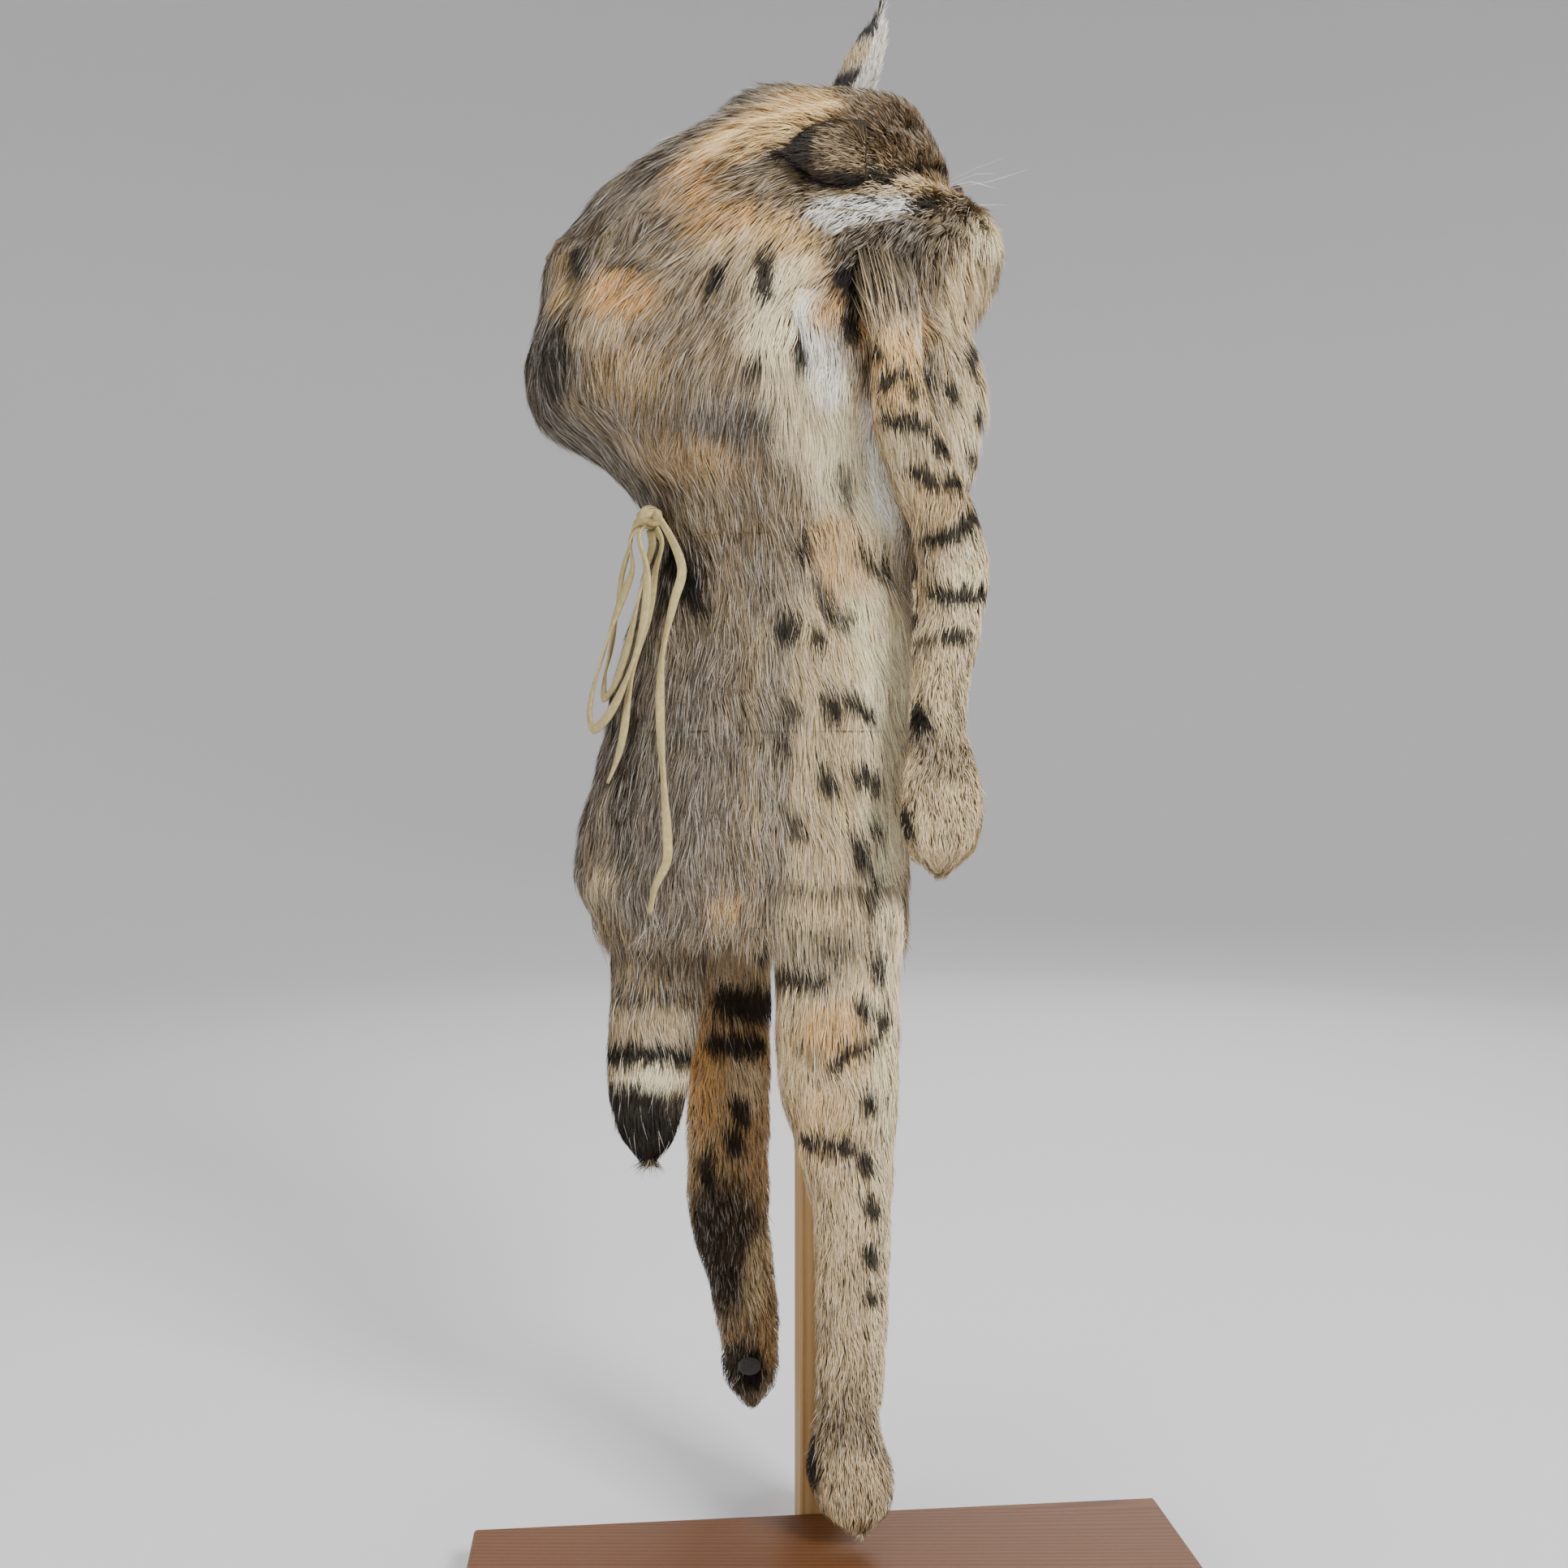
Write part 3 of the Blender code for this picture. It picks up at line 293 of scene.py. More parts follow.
# Lace: flat suede strips along the cords' own routes.
LACE_WIDTH = 0.0066
LACE_THICKNESS = 0.0019
LACE_ROUTES = {
    "lace_loop_front": [
        (-0.1203, -0.0549, 0.6766), (-0.1267, -0.0561, 0.6683), (-0.1255, -0.0500, 0.6520),
        (-0.1312, -0.0422, 0.6376), (-0.1378, -0.0356, 0.6229), (-0.1435, -0.0336, 0.6065),
        (-0.1490, -0.0307, 0.5903), (-0.1542, -0.0262, 0.5743), (-0.1560, -0.0303, 0.5578),
        (-0.1514, -0.0431, 0.5476), (-0.1419, -0.0547, 0.5546), (-0.1332, -0.0618, 0.5679),
        (-0.1263, -0.0654, 0.5835), (-0.1207, -0.0670, 0.5999), (-0.1168, -0.0659, 0.6169),
        (-0.1151, -0.0643, 0.6342), (-0.1157, -0.0636, 0.6515), (-0.1201, -0.0659, 0.6683),
        (-0.1166, -0.0604, 0.6766),
    ],
    "lace_loop_back": [
        (-0.1203, -0.0459, 0.6819), (-0.1261, -0.0372, 0.6801), (-0.1298, -0.0232, 0.6687),
        (-0.1355, -0.0138, 0.6547), (-0.1383, -0.0144, 0.6365), (-0.1406, -0.0161, 0.6183),
        (-0.1435, -0.0181, 0.6001), (-0.1471, -0.0208, 0.5823), (-0.1457, -0.0324, 0.5684),
        (-0.1374, -0.0441, 0.5772), (-0.1310, -0.0473, 0.5941), (-0.1264, -0.0468, 0.6119),
        (-0.1225, -0.0454, 0.6299), (-0.1184, -0.0445, 0.6479), (-0.1133, -0.0471, 0.6654),
        (-0.1141, -0.0508, 0.6753),
    ],
    "lace_end_short": [
        (-0.1100, -0.0569, 0.6755), (-0.1060, -0.0581, 0.6658), (-0.1103, -0.0546, 0.6492),
        (-0.1128, -0.0560, 0.6318), (-0.1163, -0.0569, 0.6147), (-0.1210, -0.0570, 0.5977),
        (-0.1254, -0.0569, 0.5807), (-0.1284, -0.0569, 0.5634), (-0.1306, -0.0568, 0.5460),
        (-0.1348, -0.0554, 0.5290), (-0.1414, -0.0522, 0.5131),
    ],
    "lace_end_long": [
        (-0.1102, -0.0647, 0.6819), (-0.1071, -0.0747, 0.6802), (-0.0977, -0.0724, 0.6644),
        (-0.0924, -0.0704, 0.6470), (-0.0971, -0.0695, 0.6291), (-0.1017, -0.0692, 0.6111),
        (-0.1050, -0.0700, 0.5929), (-0.1061, -0.0712, 0.5744), (-0.1061, -0.0723, 0.5559),
        (-0.1054, -0.0736, 0.5374), (-0.1040, -0.0759, 0.5190), (-0.1026, -0.0785, 0.5007),
        (-0.1012, -0.0807, 0.4823), (-0.1013, -0.0811, 0.4639), (-0.1090, -0.0762, 0.4478),
        (-0.1129, -0.0708, 0.4305),
    ],
}
STRIP_PROFILE = [
    (-0.50, 0.00), (-0.44, 0.42), (-0.15, 0.50), (0.15, 0.50), (0.44, 0.42),
    (0.50, 0.00), (0.44, -0.42), (0.15, -0.50), (-0.15, -0.50), (-0.44, -0.42),
]
STRIP_SWAY = 0.35
KNOT_HALF = Vector((0.0068, 0.0088, 0.0064))
KNOT_TILTS = (-0.5, 0.45, 1.45)
KNOT_STEPS, KNOT_OFFSET = 24, 0.18
HAT_AXIS = Vector((-0.035, 0.0, 0.0))


def smooth_route(points, parts=4):
    """A finer route through the same points, on a smooth curve."""
    points = [Vector(p) for p in points]
    ends = [2 * points[0] - points[1], *points, 2 * points[-1] - points[-2]]
    fine = []
    for before, start, end, after in zip(ends, ends[1:], ends[2:], ends[3:]):
        for i in range(parts):
            t = i / parts
            steady = 2 * start + (end - before) * t
            bend = (2 * before - 5 * start + 4 * end - after) * t**2
            fine.append(0.5 * (steady + bend + (3 * start - before - 3 * end + after) * t**3))
    fine.append(points[-1])
    return fine


def link_mesh(name, mesh, material=None, smooth=True):
    if smooth:
        mesh.shade_smooth()
    made = bpy.data.objects.new(name, mesh)
    bpy.context.scene.collection.objects.link(made)
    if material is not None:
        mesh.materials.append(material)
    return made


def strip_mesh(name, route, width, thickness, facing, closed=False, twist=0.0):
    """A flat strip with eased edges along a route. facing(place) is the way its flat side looks."""
    shape = bmesh.new()
    rings = []
    count = len(route)
    for i, place in enumerate(route):
        before = route[i - 1] if i > 0 or closed else route[0]
        after = route[(i + 1) % count] if i < count - 1 or closed else route[-1]
        along = (after - before).normalized()
        out = facing(place)
        out = (out - along * out.dot(along)).normalized()
        out.rotate(Matrix.Rotation(twist * math.sin(i * STRIP_SWAY), 3, along))
        across = along.cross(out)
        spots = [place + across * a * width + out * b * thickness for a, b in STRIP_PROFILE]
        rings.append([shape.verts.new(spot) for spot in spots])
    pairs = list(zip(rings, rings[1:]))
    if closed:
        pairs.append((rings[-1], rings[0]))
    for upper, lower in pairs:
        for i in range(len(STRIP_PROFILE)):
            after = (i + 1) % len(STRIP_PROFILE)
            shape.faces.new((upper[i], upper[after], lower[after], lower[i]))
    if not closed:
        shape.faces.new(rings[0])
        shape.faces.new(rings[-1])
    bmesh.ops.recalc_face_normals(shape, faces=shape.faces)
    mesh = bpy.data.meshes.new(name)
    shape.to_mesh(mesh)
    shape.free()
    return mesh


def off_the_hat(place):
    return Vector((place.x - HAT_AXIS.x, place.y, 0.0)).normalized()


def own_piece(piece, node_name=None):
    """A piece rides the hat's body, and may stand for a node."""
    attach(piece, "root")
    if node_name is not None:
        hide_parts(node_name)


SUEDE = leather_material("suede", (226, 205, 146), 260.0, 0.92, 0.0002, 0.16)


def build_lace():
    for name, points in LACE_ROUTES.items():
        route = smooth_route(points)
        mesh = strip_mesh(name, route, LACE_WIDTH, LACE_THICKNESS, off_the_hat, twist=0.35)
        strand = link_mesh(name + "_strip", mesh, SUEDE)
        own_piece(strand, name)


def build_knot():
    """The knot is the lace wound over itself: three turns of strip at different tilts."""
    low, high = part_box("lace_knot")
    middle = (Vector(low) + Vector(high)) / 2
    out = off_the_hat(middle)
    down = Vector((0, 0, -1))
    across = down.cross(out)
    whole = bmesh.new()
    for tilt in KNOT_TILTS:
        route = []
        for i in range(KNOT_STEPS):
            turn = 2 * math.pi * i / KNOT_STEPS
            a, w = math.cos(turn), math.sin(turn)
            # Each turn goes round the knot in its own tilted plane.
            side = a * math.cos(tilt) - KNOT_OFFSET * math.sin(tilt)
            fall = a * math.sin(tilt) + KNOT_OFFSET * math.cos(tilt)
            place = out * (w * KNOT_HALF.x) + across * (side * KNOT_HALF.y) + down * (fall * KNOT_HALF.z)
            route.append(middle + place)
        facing = lambda place: (place - middle).normalized()
        mesh = strip_mesh("turn", route, LACE_WIDTH * 0.8, LACE_THICKNESS, facing, closed=True)
        whole.from_mesh(mesh)
        bpy.data.meshes.remove(mesh)
    mesh = bpy.data.meshes.new("lace_knot_turns")
    whole.to_mesh(mesh)
    whole.free()
    knot = link_mesh("lace_knot_turns", mesh, SUEDE)
    own_piece(knot, "lace_knot")


build_lace()
build_knot()

# The coat, charted on the side view, with painted shade in some of its patches. Colour patches are laid one
# over another in this order:
# across, down, reach across, reach down, lean in degrees, tint, strength.
FIELD_PATCHES = [
    # The hood's back and side.
    (800, 450, 200, 200, 0, "agouti", 0.6),
    (675, 470, 30, 105, 4, "dark", 0.85),
    (705, 300, 40, 90, 25, "umber", 0.6),
    (680, 350, 22, 60, 0, "straw", 0.5),
    (758, 375, 52, 36, 5, "orange", 0.85),
    (730, 420, 40, 22, 0, "sand", 0.5),
    (775, 470, 60, 50, 0, "tan", 0.45),
    (845, 180, 130, 40, -38, "dark_grizzle", 0.55),
    (925, 165, 120, 34, -28, "straw", 0.95),
    (985, 130, 50, 26, -10, "straw", 0.8),
    (955, 100, 50, 18, -12, "sand", 0.6),
    (840, 235, 55, 34, -25, "orange", 0.9),
    (880, 222, 34, 22, 0, "brown", 0.6),
    (790, 260, 60, 50, -35, "grey", 0.5),
    (790, 215, 40, 24, -38, "dark_grizzle", 0.7),
    # The swirl, the white belly hair and the saddle.
    (900, 290, 85, 40, 10, "orange", 0.7),
    (965, 310, 60, 46, 20, "straw", 0.85),
    (905, 330, 60, 40, 10, "sand", 0.7),
    (960, 400, 60, 90, 10, "cream", 0.85),
    (1000, 520, 70, 90, -25, "cream", 0.85),
    (1010, 440, 30, 90, -14, "white", 0.7),
    (1010, 380, 20, 50, -20, "rust", 0.55),
    (1050, 620, 60, 90, -22, "cream", 0.9),
    (1085, 600, 16, 110, -14, "white", 0.7),
    (895, 530, 70, 34, 0, "grey", 0.8),
    (930, 545, 30, 26, 0, "dark_grizzle", 0.6),
    (840, 585, 90, 42, 8, "tan", 0.6),
    (830, 610, 44, 14, 0, "brown", 0.6),
    (910, 640, 90, 44, 8, "agouti", 0.6),
    # The head below the eye, and the shoulder.
    (1090, 320, 84, 60, 0, "dark_grizzle", 0.9),
    (1050, 362, 40, 34, 0, "umber", 0.85),
    (1120, 300, 50, 36, 0, "grey", 0.5),
    (1165, 330, 40, 80, 0, "agouti", 0.7),
    (1188, 480, 42, 170, 0, "sand", 0.85),
    (1195, 560, 30, 110, 0, "cream", 0.5),
    (1215, 305, 30, 44, 0, "cream", 0.95),
    (1200, 370, 34, 50, 0, "sand", 0.7),
    (1100, 415, 58, 40, 0, "orange", 0.9),
    (1020, 400, 30, 26, 0, "orange", 0.5),
    # The face.
    (1085, 190, 90, 74, 0, "tan", 0.6),
    (1080, 150, 62, 34, 0, "brown", 0.8),
    (1045, 190, 40, 30, 0, "umber", 0.6),
    (1135, 180, 36, 40, 0, "agouti", 0.6),
    (1100, 228, 84, 17, 0, "sand", 0.9),
    (1150, 240, 40, 22, 0, "tan", 0.5),
    (1060, 262, 84, 20, -6, "white", 1.0),
    (1020, 268, 34, 26, 0, "white", 0.9),
    # The cape: saddle, rump and flank.
    # The grey at (820, 950) and the umber strip at (765, 900): dark fur along the back, with painted shade
    # where the pelt turns round to the far side.
    (820, 950, 110, 260, 0, "grey", 0.75),
    (850, 780, 60, 60, 0, "agouti", 0.6),
    (765, 900, 24, 240, 0, "umber", 0.6),
    (1010, 780, 90, 120, 0, "sand", 0.7),
    (960, 730, 60, 50, 0, "grey", 0.6),
    (1010, 950, 90, 230, 0, "sand", 0.75),
    # A grey strip down the valley between the rump and the near flank: painted shade of the hollow.
    (955, 960, 24, 240, 0, "grey", 0.7),
    (1085, 800, 44, 170, -8, "cream", 0.9),
    (1090, 1000, 34, 240, 0, "cream", 0.85),
    (1045, 700, 44, 60, -12, "orange", 0.45),
    # The nape fold where the lace gathers: dark fur, and painted shade inside the fold.
    (835, 725, 44, 56, 20, "dark", 0.75),
    (735, 1130, 30, 50, 0, "sand", 0.7),
    (800, 1130, 80, 36, 0, "grey", 0.5),
    (889, 1131, 26, 22, 0, "tan", 0.85),
]
# Dark marks, and at the nape a painted shadow in the fold: from and to on the chart, half width, strength.
FIELD_MARKS_AND_SHADE = [
    (935, 330, 937, 372, 11, 1.0), (878, 348, 876, 362, 9, 0.8), (985, 448, 988, 460, 8, 0.6),
    (925, 465, 928, 476, 9, 0.6), (745, 337, 782, 344, 6, 0.8), (705, 330, 712, 350, 7, 0.6),
    (1006, 221, 1087, 221, 4, 1.0), (1087, 221, 1107, 207, 4, 1.0), (1107, 206, 1167, 205, 3.5, 1.0),
    (1066, 218, 1092, 219, 7, 1.0), (1030, 150, 1060, 160, 6, 0.5), (1110, 150, 1150, 178, 5, 0.4),
    (1128, 253, 1152, 254, 6, 0.9), (1135, 235, 1160, 243, 3, 0.5), (1130, 246, 1165, 250, 3, 0.5),
    (1076, 389, 1092, 386, 9, 1.0), (1046, 405, 1052, 424, 10, 0.9), (1030, 352, 1070, 372, 12, 0.6),
    (1203, 440, 1203, 462, 7, 0.7), (1176, 490, 1178, 506, 7, 0.7), (1150, 478, 1140, 470, 6, 0.7),
    (1196, 572, 1202, 582, 7, 0.7), (1200, 605, 1196, 622, 6, 0.6), (1205, 520, 1208, 532, 5, 0.6),
    (1215, 400, 1208, 410, 6, 0.4), (1040, 600, 1050, 640, 9, 0.45), (1060, 696, 1097, 720, 8, 0.6),
    (992, 684, 993, 698, 9, 0.7), (968, 780, 970, 795, 11, 0.8), (1004, 790, 1010, 806, 9, 0.8),
    (1022, 762, 1046, 776, 9, 0.8), (1010, 735, 1022, 744, 8, 0.5), (976, 880, 980, 895, 11, 0.5),
    (1024, 876, 1028, 890, 10, 0.9), (1052, 876, 1072, 892, 9, 0.9), (1018, 972, 1030, 984, 11, 0.8),
    (1062, 968, 1076, 976, 10, 0.8), (962, 922, 966, 938, 10, 0.5), (982, 1022, 984, 1040, 9, 0.5),
    (1056, 1048, 1068, 1080, 8, 0.8), (1082, 1030, 1084, 1052, 7, 0.7),
    (984, 1118, 1000, 1124, 12, 0.5), (1084, 1100, 1088, 1124, 7, 0.8),
    # From (830, 700) to (860, 760): the nape fold, dark fur with painted shade inside it.
    (1066, 1136, 1074, 1154, 8, 0.6), (830, 700, 860, 760, 12, 0.7), (1030, 1110, 1040, 1120, 9, 0.4),
]
# The rest of the pelt, each hanging piece on its own part of the chart.
LEG_PATCHES = {
    "hind_leg_near": [
        (1030, 1400, 120, 400, 0, "sand", 0.9),
        (1010, 1180, 60, 60, 0, "grey", 0.4),
        (1095, 1250, 26, 260, 0, "cream", 0.8),
        (1030, 1290, 60, 44, 0, "orange", 0.6),
        (1010, 1400, 46, 60, 0, "tan", 0.5),
        (1045, 1560, 60, 120, 0, "sand", 0.6),
        (1085, 1600, 14, 240, 0, "cream", 0.5),
        (1050, 1850, 60, 70, 0, "sand", 0.8),
    ],
    "hind_leg_far": [
        (900, 1400, 90, 300, 0, "tan", 0.8),
        (915, 1200, 50, 60, 0, "cream", 0.6),
        (868, 1343, 26, 80, 0, "orange", 0.8),
        (920, 1345, 26, 50, 0, "cream", 0.6),
        (890, 1545, 60, 100, 0, "umber", 0.95),
        (934, 1580, 22, 66, 8, "sand", 0.95),
        (945, 1660, 16, 50, 0, "tan", 0.8),
        (912, 1695, 34, 38, 0, "dark", 0.85),
        (880, 1680, 9, 12, 0, "white", 0.8),
    ],
    "fore_leg_near": [
        (1150, 700, 120, 500, 0, "sand", 0.9),
        (1105, 470, 40, 60, 0, "orange", 0.6),
        (1160, 640, 50, 60, 0, "tan", 0.5),
        (1190, 720, 30, 90, 0, "cream", 0.7),
        (1160, 850, 40, 50, 0, "sand", 0.7),
        (1135, 905, 22, 40, 0, "dark_grizzle", 0.7),
        (1165, 940, 40, 40, 0, "agouti", 0.7),
        (1165, 1020, 60, 56, 0, "sand", 0.9),
    ],
    "tail": [
        (810, 1220, 80, 90, 0, "agouti", 0.8),
        (800, 1275, 70, 26, 0, "sand", 0.5),
        (800, 1340, 70, 20, 0, "cream", 0.9),
        (780, 1384, 26, 12, 0, "cream", 0.5),
    ],
}
LEG_MARKS = {
    "hind_leg_near": [
        (1010, 1182, 1044, 1186, 11, 0.6), (968, 1220, 1010, 1224, 10, 0.8),
        (1082, 1200, 1084, 1220, 7, 0.8), (1064, 1250, 1068, 1266, 8, 0.9),
        (1086, 1262, 1090, 1278, 7, 0.8), (1025, 1330, 1048, 1306, 8, 0.7),
        (1048, 1306, 1080, 1298, 8, 0.8), (985, 1306, 1000, 1312, 9, 0.4),
        (1070, 1364, 1073, 1378, 8, 0.7), (996, 1416, 1045, 1426, 10, 0.8),
        (1066, 1436, 1072, 1450, 9, 0.8), (1074, 1492, 1078, 1508, 8, 0.8),
        (1072, 1550, 1076, 1566, 8, 0.7), (1072, 1604, 1076, 1616, 7, 0.6),
        (990, 1780, 1000, 1836, 9, 0.9), (1010, 1880, 1020, 1886, 6, 0.3),
    ],
    "hind_leg_far": [
        (884, 1152, 902, 1162, 10, 0.9), (935, 1174, 938, 1186, 9, 0.9),
        (897, 1246, 944, 1250, 18, 1.0), (884, 1296, 930, 1298, 13, 1.0),
        (912, 1372, 915, 1390, 10, 0.9), (903, 1412, 906, 1426, 9, 0.9), (868, 1440, 872, 1470, 8, 0.6),
        (925, 1690, 928, 1705, 12, 1.0), (880, 1700, 890, 1718, 9, 0.8),
    ],
    "fore_leg_near": [
        (1084, 482, 1116, 468, 7, 0.9), (1078, 446, 1084, 450, 7, 0.8), (1124, 488, 1128, 496, 7, 0.8),
        (1144, 472, 1145, 478, 6, 0.7), (1098, 528, 1138, 533, 8, 0.9), (1156, 556, 1164, 566, 8, 0.8),
        (1128, 590, 1150, 604, 9, 0.8), (1172, 600, 1180, 608, 8, 0.8), (1144, 674, 1176, 666, 9, 1.0),
        (1176, 666, 1210, 644, 9, 1.0), (1152, 741, 1208, 741, 8, 1.0), (1162, 792, 1195, 792, 6, 0.9),
        (1130, 800, 1160, 795, 5, 0.5), (1122, 884, 1138, 900, 10, 0.9),
        (1112, 1010, 1118, 1030, 8, 0.7), (1180, 850, 1184, 900, 5, 0.4),
    ],
    "tail": [
        (756, 1243, 866, 1243, 7, 0.45), (750, 1311, 850, 1311, 10, 0.85),
        (750, 1368, 800, 1370, 16, 1.0), (800, 1366, 842, 1366, 10, 0.5),
        (770, 1412, 832, 1412, 26, 1.0),
    ],
}
LEG_PATCHES["fore_leg_far"] = LEG_PATCHES["fore_leg_near"]
LEG_MARKS["fore_leg_far"] = LEG_MARKS["fore_leg_near"]

# The lie of the fur on the chart: place, direction across and down, hair length in millimetres.
FUR_LIE = [
    (1190, 250, -1.0, -0.2, 6), (1150, 232, -1.0, -0.2, 7), (1100, 228, -1.0, -0.1, 8),
    (1040, 225, -1.0, 0.1, 10), (1140, 170, -0.8, -0.7, 8), (1100, 150, -1.0, -0.3, 9),
    (1060, 125, -1.0, 0.0, 12), (1150, 262, -0.9, 0.3, 9), (1080, 258, -1.0, 0.2, 12),
    (1020, 270, -0.8, 0.6, 16), (980, 110, -1.0, 0.25, 24), (900, 140, -1.0, 0.6, 26),
    (800, 200, -0.8, 0.8, 28), (720, 290, -0.5, 1.0, 30), (680, 380, -0.1, 1.0, 32),
    (670, 500, 0.15, 1.0, 32), (700, 570, 0.5, 0.9, 28), (770, 610, 0.8, 0.6, 25),
    (960, 160, -0.9, 0.5, 26), (920, 240, -0.8, 0.7, 26), (850, 300, -0.8, 0.7, 28),
    (940, 330, -0.5, 1.0, 28), (900, 380, -0.6, 0.9, 30), (850, 440, -0.5, 1.0, 30),
    (1000, 380, 0.1, 1.0, 28), (960, 450, -0.1, 1.0, 36), (1000, 520, 0.2, 1.0, 42),
    (930, 560, 0.2, 1.0, 38), (880, 500, -0.2, 1.0, 34), (1050, 600, 0.3, 1.0, 40),
    (1095, 660, 0.4, 1.0, 38), (1100, 320, -0.3, 1.0, 22), (1050, 340, -0.4, 1.0, 22),
    (1150, 300, 0.2, 1.0, 24), (1210, 300, 0.8, 0.6, 32), (1220, 360, 0.6, 0.9, 30),
    (1190, 420, 0.4, 1.0, 26), (1200, 520, 0.4, 1.0, 26), (1205, 600, 0.3, 1.0, 24),
    (1100, 420, 0.0, 1.0, 24), (840, 640, 0.1, 1.0, 28), (900, 700, 0.1, 1.0, 26),
    (1000, 750, 0.1, 1.0, 26), (1090, 760, 0.35, 1.0, 38), (800, 900, -0.05, 1.0, 26),
    (760, 1050, -0.1, 1.0, 28), (1050, 900, 0.15, 1.0, 26), (1095, 1000, 0.3, 1.0, 36),
    (900, 1000, 0.0, 1.0, 26), (950, 1120, 0.0, 1.0, 26), (730, 1130, -0.3, 1.0, 30),
]
LIE_REACH = 55.0


def chart(points, mirror=True):
    """Where points show on the chart. The far side is charted as the near side's mirror, or as it stands."""
    beside = -np.abs(points[:, 1]) if mirror else points[:, 1]
    scale = -EYE.y / (beside - EYE.y) / CHART_UNIT
    across = MIDDLE + (points[:, 0] - EYE.x) * scale
    down = LEVEL + (EYE.z - points[:, 2]) * scale
    return np.stack([across, down], axis=1)


def unit(vectors):
    return vectors / np.maximum(np.linalg.norm(vectors, axis=1, keepdims=True), 1e-9)


def fade(values, low, high):
    share = np.clip((values - low) / (high - low), 0.0, 1.0)
    return share * share * (3 - 2 * share)


def drift(points, pitch, seed):
    """Slow unevenness from -1 to 1 over space."""
    rng = np.random.default_rng(seed)
    total = np.zeros(len(points))
    for _ in range(7):
        wave = rng.normal(size=3)
        wave *= 2 * math.pi / pitch * rng.uniform(0.5, 1.6) / np.linalg.norm(wave)
        total += np.sin(points @ wave + rng.uniform(0, 2 * math.pi))
    return total / 3.5


def lay_patches(colour, place, patches):
    for across, down, reach_across, reach_down, lean, tint, strength in patches:
        turn = math.radians(lean)
        dx, dy = place[:, 0] - across, place[:, 1] - down
        along = dx * math.cos(turn) + dy * math.sin(turn)
        aside = dy * math.cos(turn) - dx * math.sin(turn)
        reach = np.sqrt((along / reach_across) ** 2 + (aside / reach_down) ** 2)
        cover = (strength * (1 - fade(reach, 0.55, 1.15)))[:, None]
        colour = colour * (1 - cover) + linear(tint) * cover
    return colour


# How much the marks are widened, and how far a hair may miss its place on the chart.
MARK_SPREAD, RAGGED = 1.25, 2.6


def mark_cover(place, marks):
    """How dark the marks are, from 0 to 1, at places on the chart."""
    cover = np.zeros(len(place))
    for x1, y1, x2, y2, half, strength in marks:
        start, run = np.array([x1, y1], float), np.array([x2 - x1, y2 - y1], float)
        along = np.clip((place - start) @ run / max(run @ run, 1.0), 0, 1)
        gap = np.linalg.norm(place - start - along[:, None] * run, axis=1) / MARK_SPREAD
        cover = np.maximum(cover, strength * (1 - fade(gap / half, 0.55, 1.35)))
    return cover


def coat(node_name, points, normals, rng):
    """The fur's colour at points of a node, and how dark the marks are there."""
    ragged = chart(points) + rng.normal(0.0, RAGGED, (len(points), 2))
    colour = np.tile(linear("agouti"), (len(points), 1))
    if node_name in LEG_PATCHES:
        if node_name == "hind_leg_far":
            # This leg shows its inner side, and is charted where it stands.
            ragged = chart(points, mirror=False) + rng.normal(0.0, RAGGED, (len(points), 2))
        colour = lay_patches(colour, ragged, LEG_PATCHES[node_name])
        cover = mark_cover(ragged, LEG_MARKS[node_name])
    else:
        colour = lay_patches(colour, ragged, FIELD_PATCHES)
        cover = mark_cover(ragged, FIELD_MARKS_AND_SHADE)
        colour, cover = spine_coat(points, normals, colour, cover)
    uneven = 1 + 0.10 * drift(points, 0.05, 3) + 0.08 * drift(points, 0.018, 4)
    return colour * uneven[:, None], cover


SIDE_STRIPE = 0.045


def spine_coat(points, normals, colour, cover):
    """Over the spine, where the side chart can't be read, the coat is dark down the middle."""
    away = np.abs(points[:, 1])
    middle = 1 - fade(np.abs(normals[:, 1]), 0.25, 0.62)
    back = np.where(normals[:, 0] < 0.35, 1.0, 0.0)
    broken = 0.5 + 0.5 * drift(points * np.array([1, 2.5, 1]), 0.05, 11)
    beside = 1 - fade(np.abs(away - SIDE_STRIPE), 0.004, 0.014)
    stripe = np.maximum(1 - fade(away, 0.004, 0.020), 0.6 * beside)
    dark = stripe * (0.45 + 0.55 * broken)
    spine = linear("grey") * (1 - dark[:, None]) + linear("dark") * dark[:, None]
    share = (middle * back)[:, None] * 0.85
    return colour * (1 - share) + spine * share, cover * (1 - 0.8 * middle * back)


def lie_of_fur(points):
    """Each hair's direction along the surface, and its length in metres."""
    place = chart(points)
    weight_sum = np.full(len(points), 1e-9)
    direction = np.zeros((len(points), 2))
    length = np.zeros(len(points))
    for across, down, to_across, to_down, size in FUR_LIE:
        gap = ((place - (across, down)) ** 2).sum(axis=1)
        weight = np.exp(-gap / (2 * LIE_REACH**2)) + 1e-6
        scale = math.hypot(to_across, to_down)
        direction += weight[:, None] * np.array([to_across, to_down]) / scale
        length += weight * size
        weight_sum += weight
    direction /= weight_sum[:, None]
    flow = np.stack([direction[:, 0], np.zeros(len(points)), -direction[:, 1]], axis=1)
    flow[:, 2] -= 0.15
    return flow, length / weight_sum * 0.001


def hanging_fur(node_name, points, lengths):
    """Straight down, shorter from the top of the piece to its end."""
    low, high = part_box(node_name)
    share = np.clip((high[2] - points[:, 2]) / (high[2] - low[2]), 0, 1)
    flow = np.tile([0.05, 0.0, -1.0], (len(points), 1))
    size = np.interp(share, np.linspace(0, 1, len(lengths)), lengths)
    return flow, size * 0.001


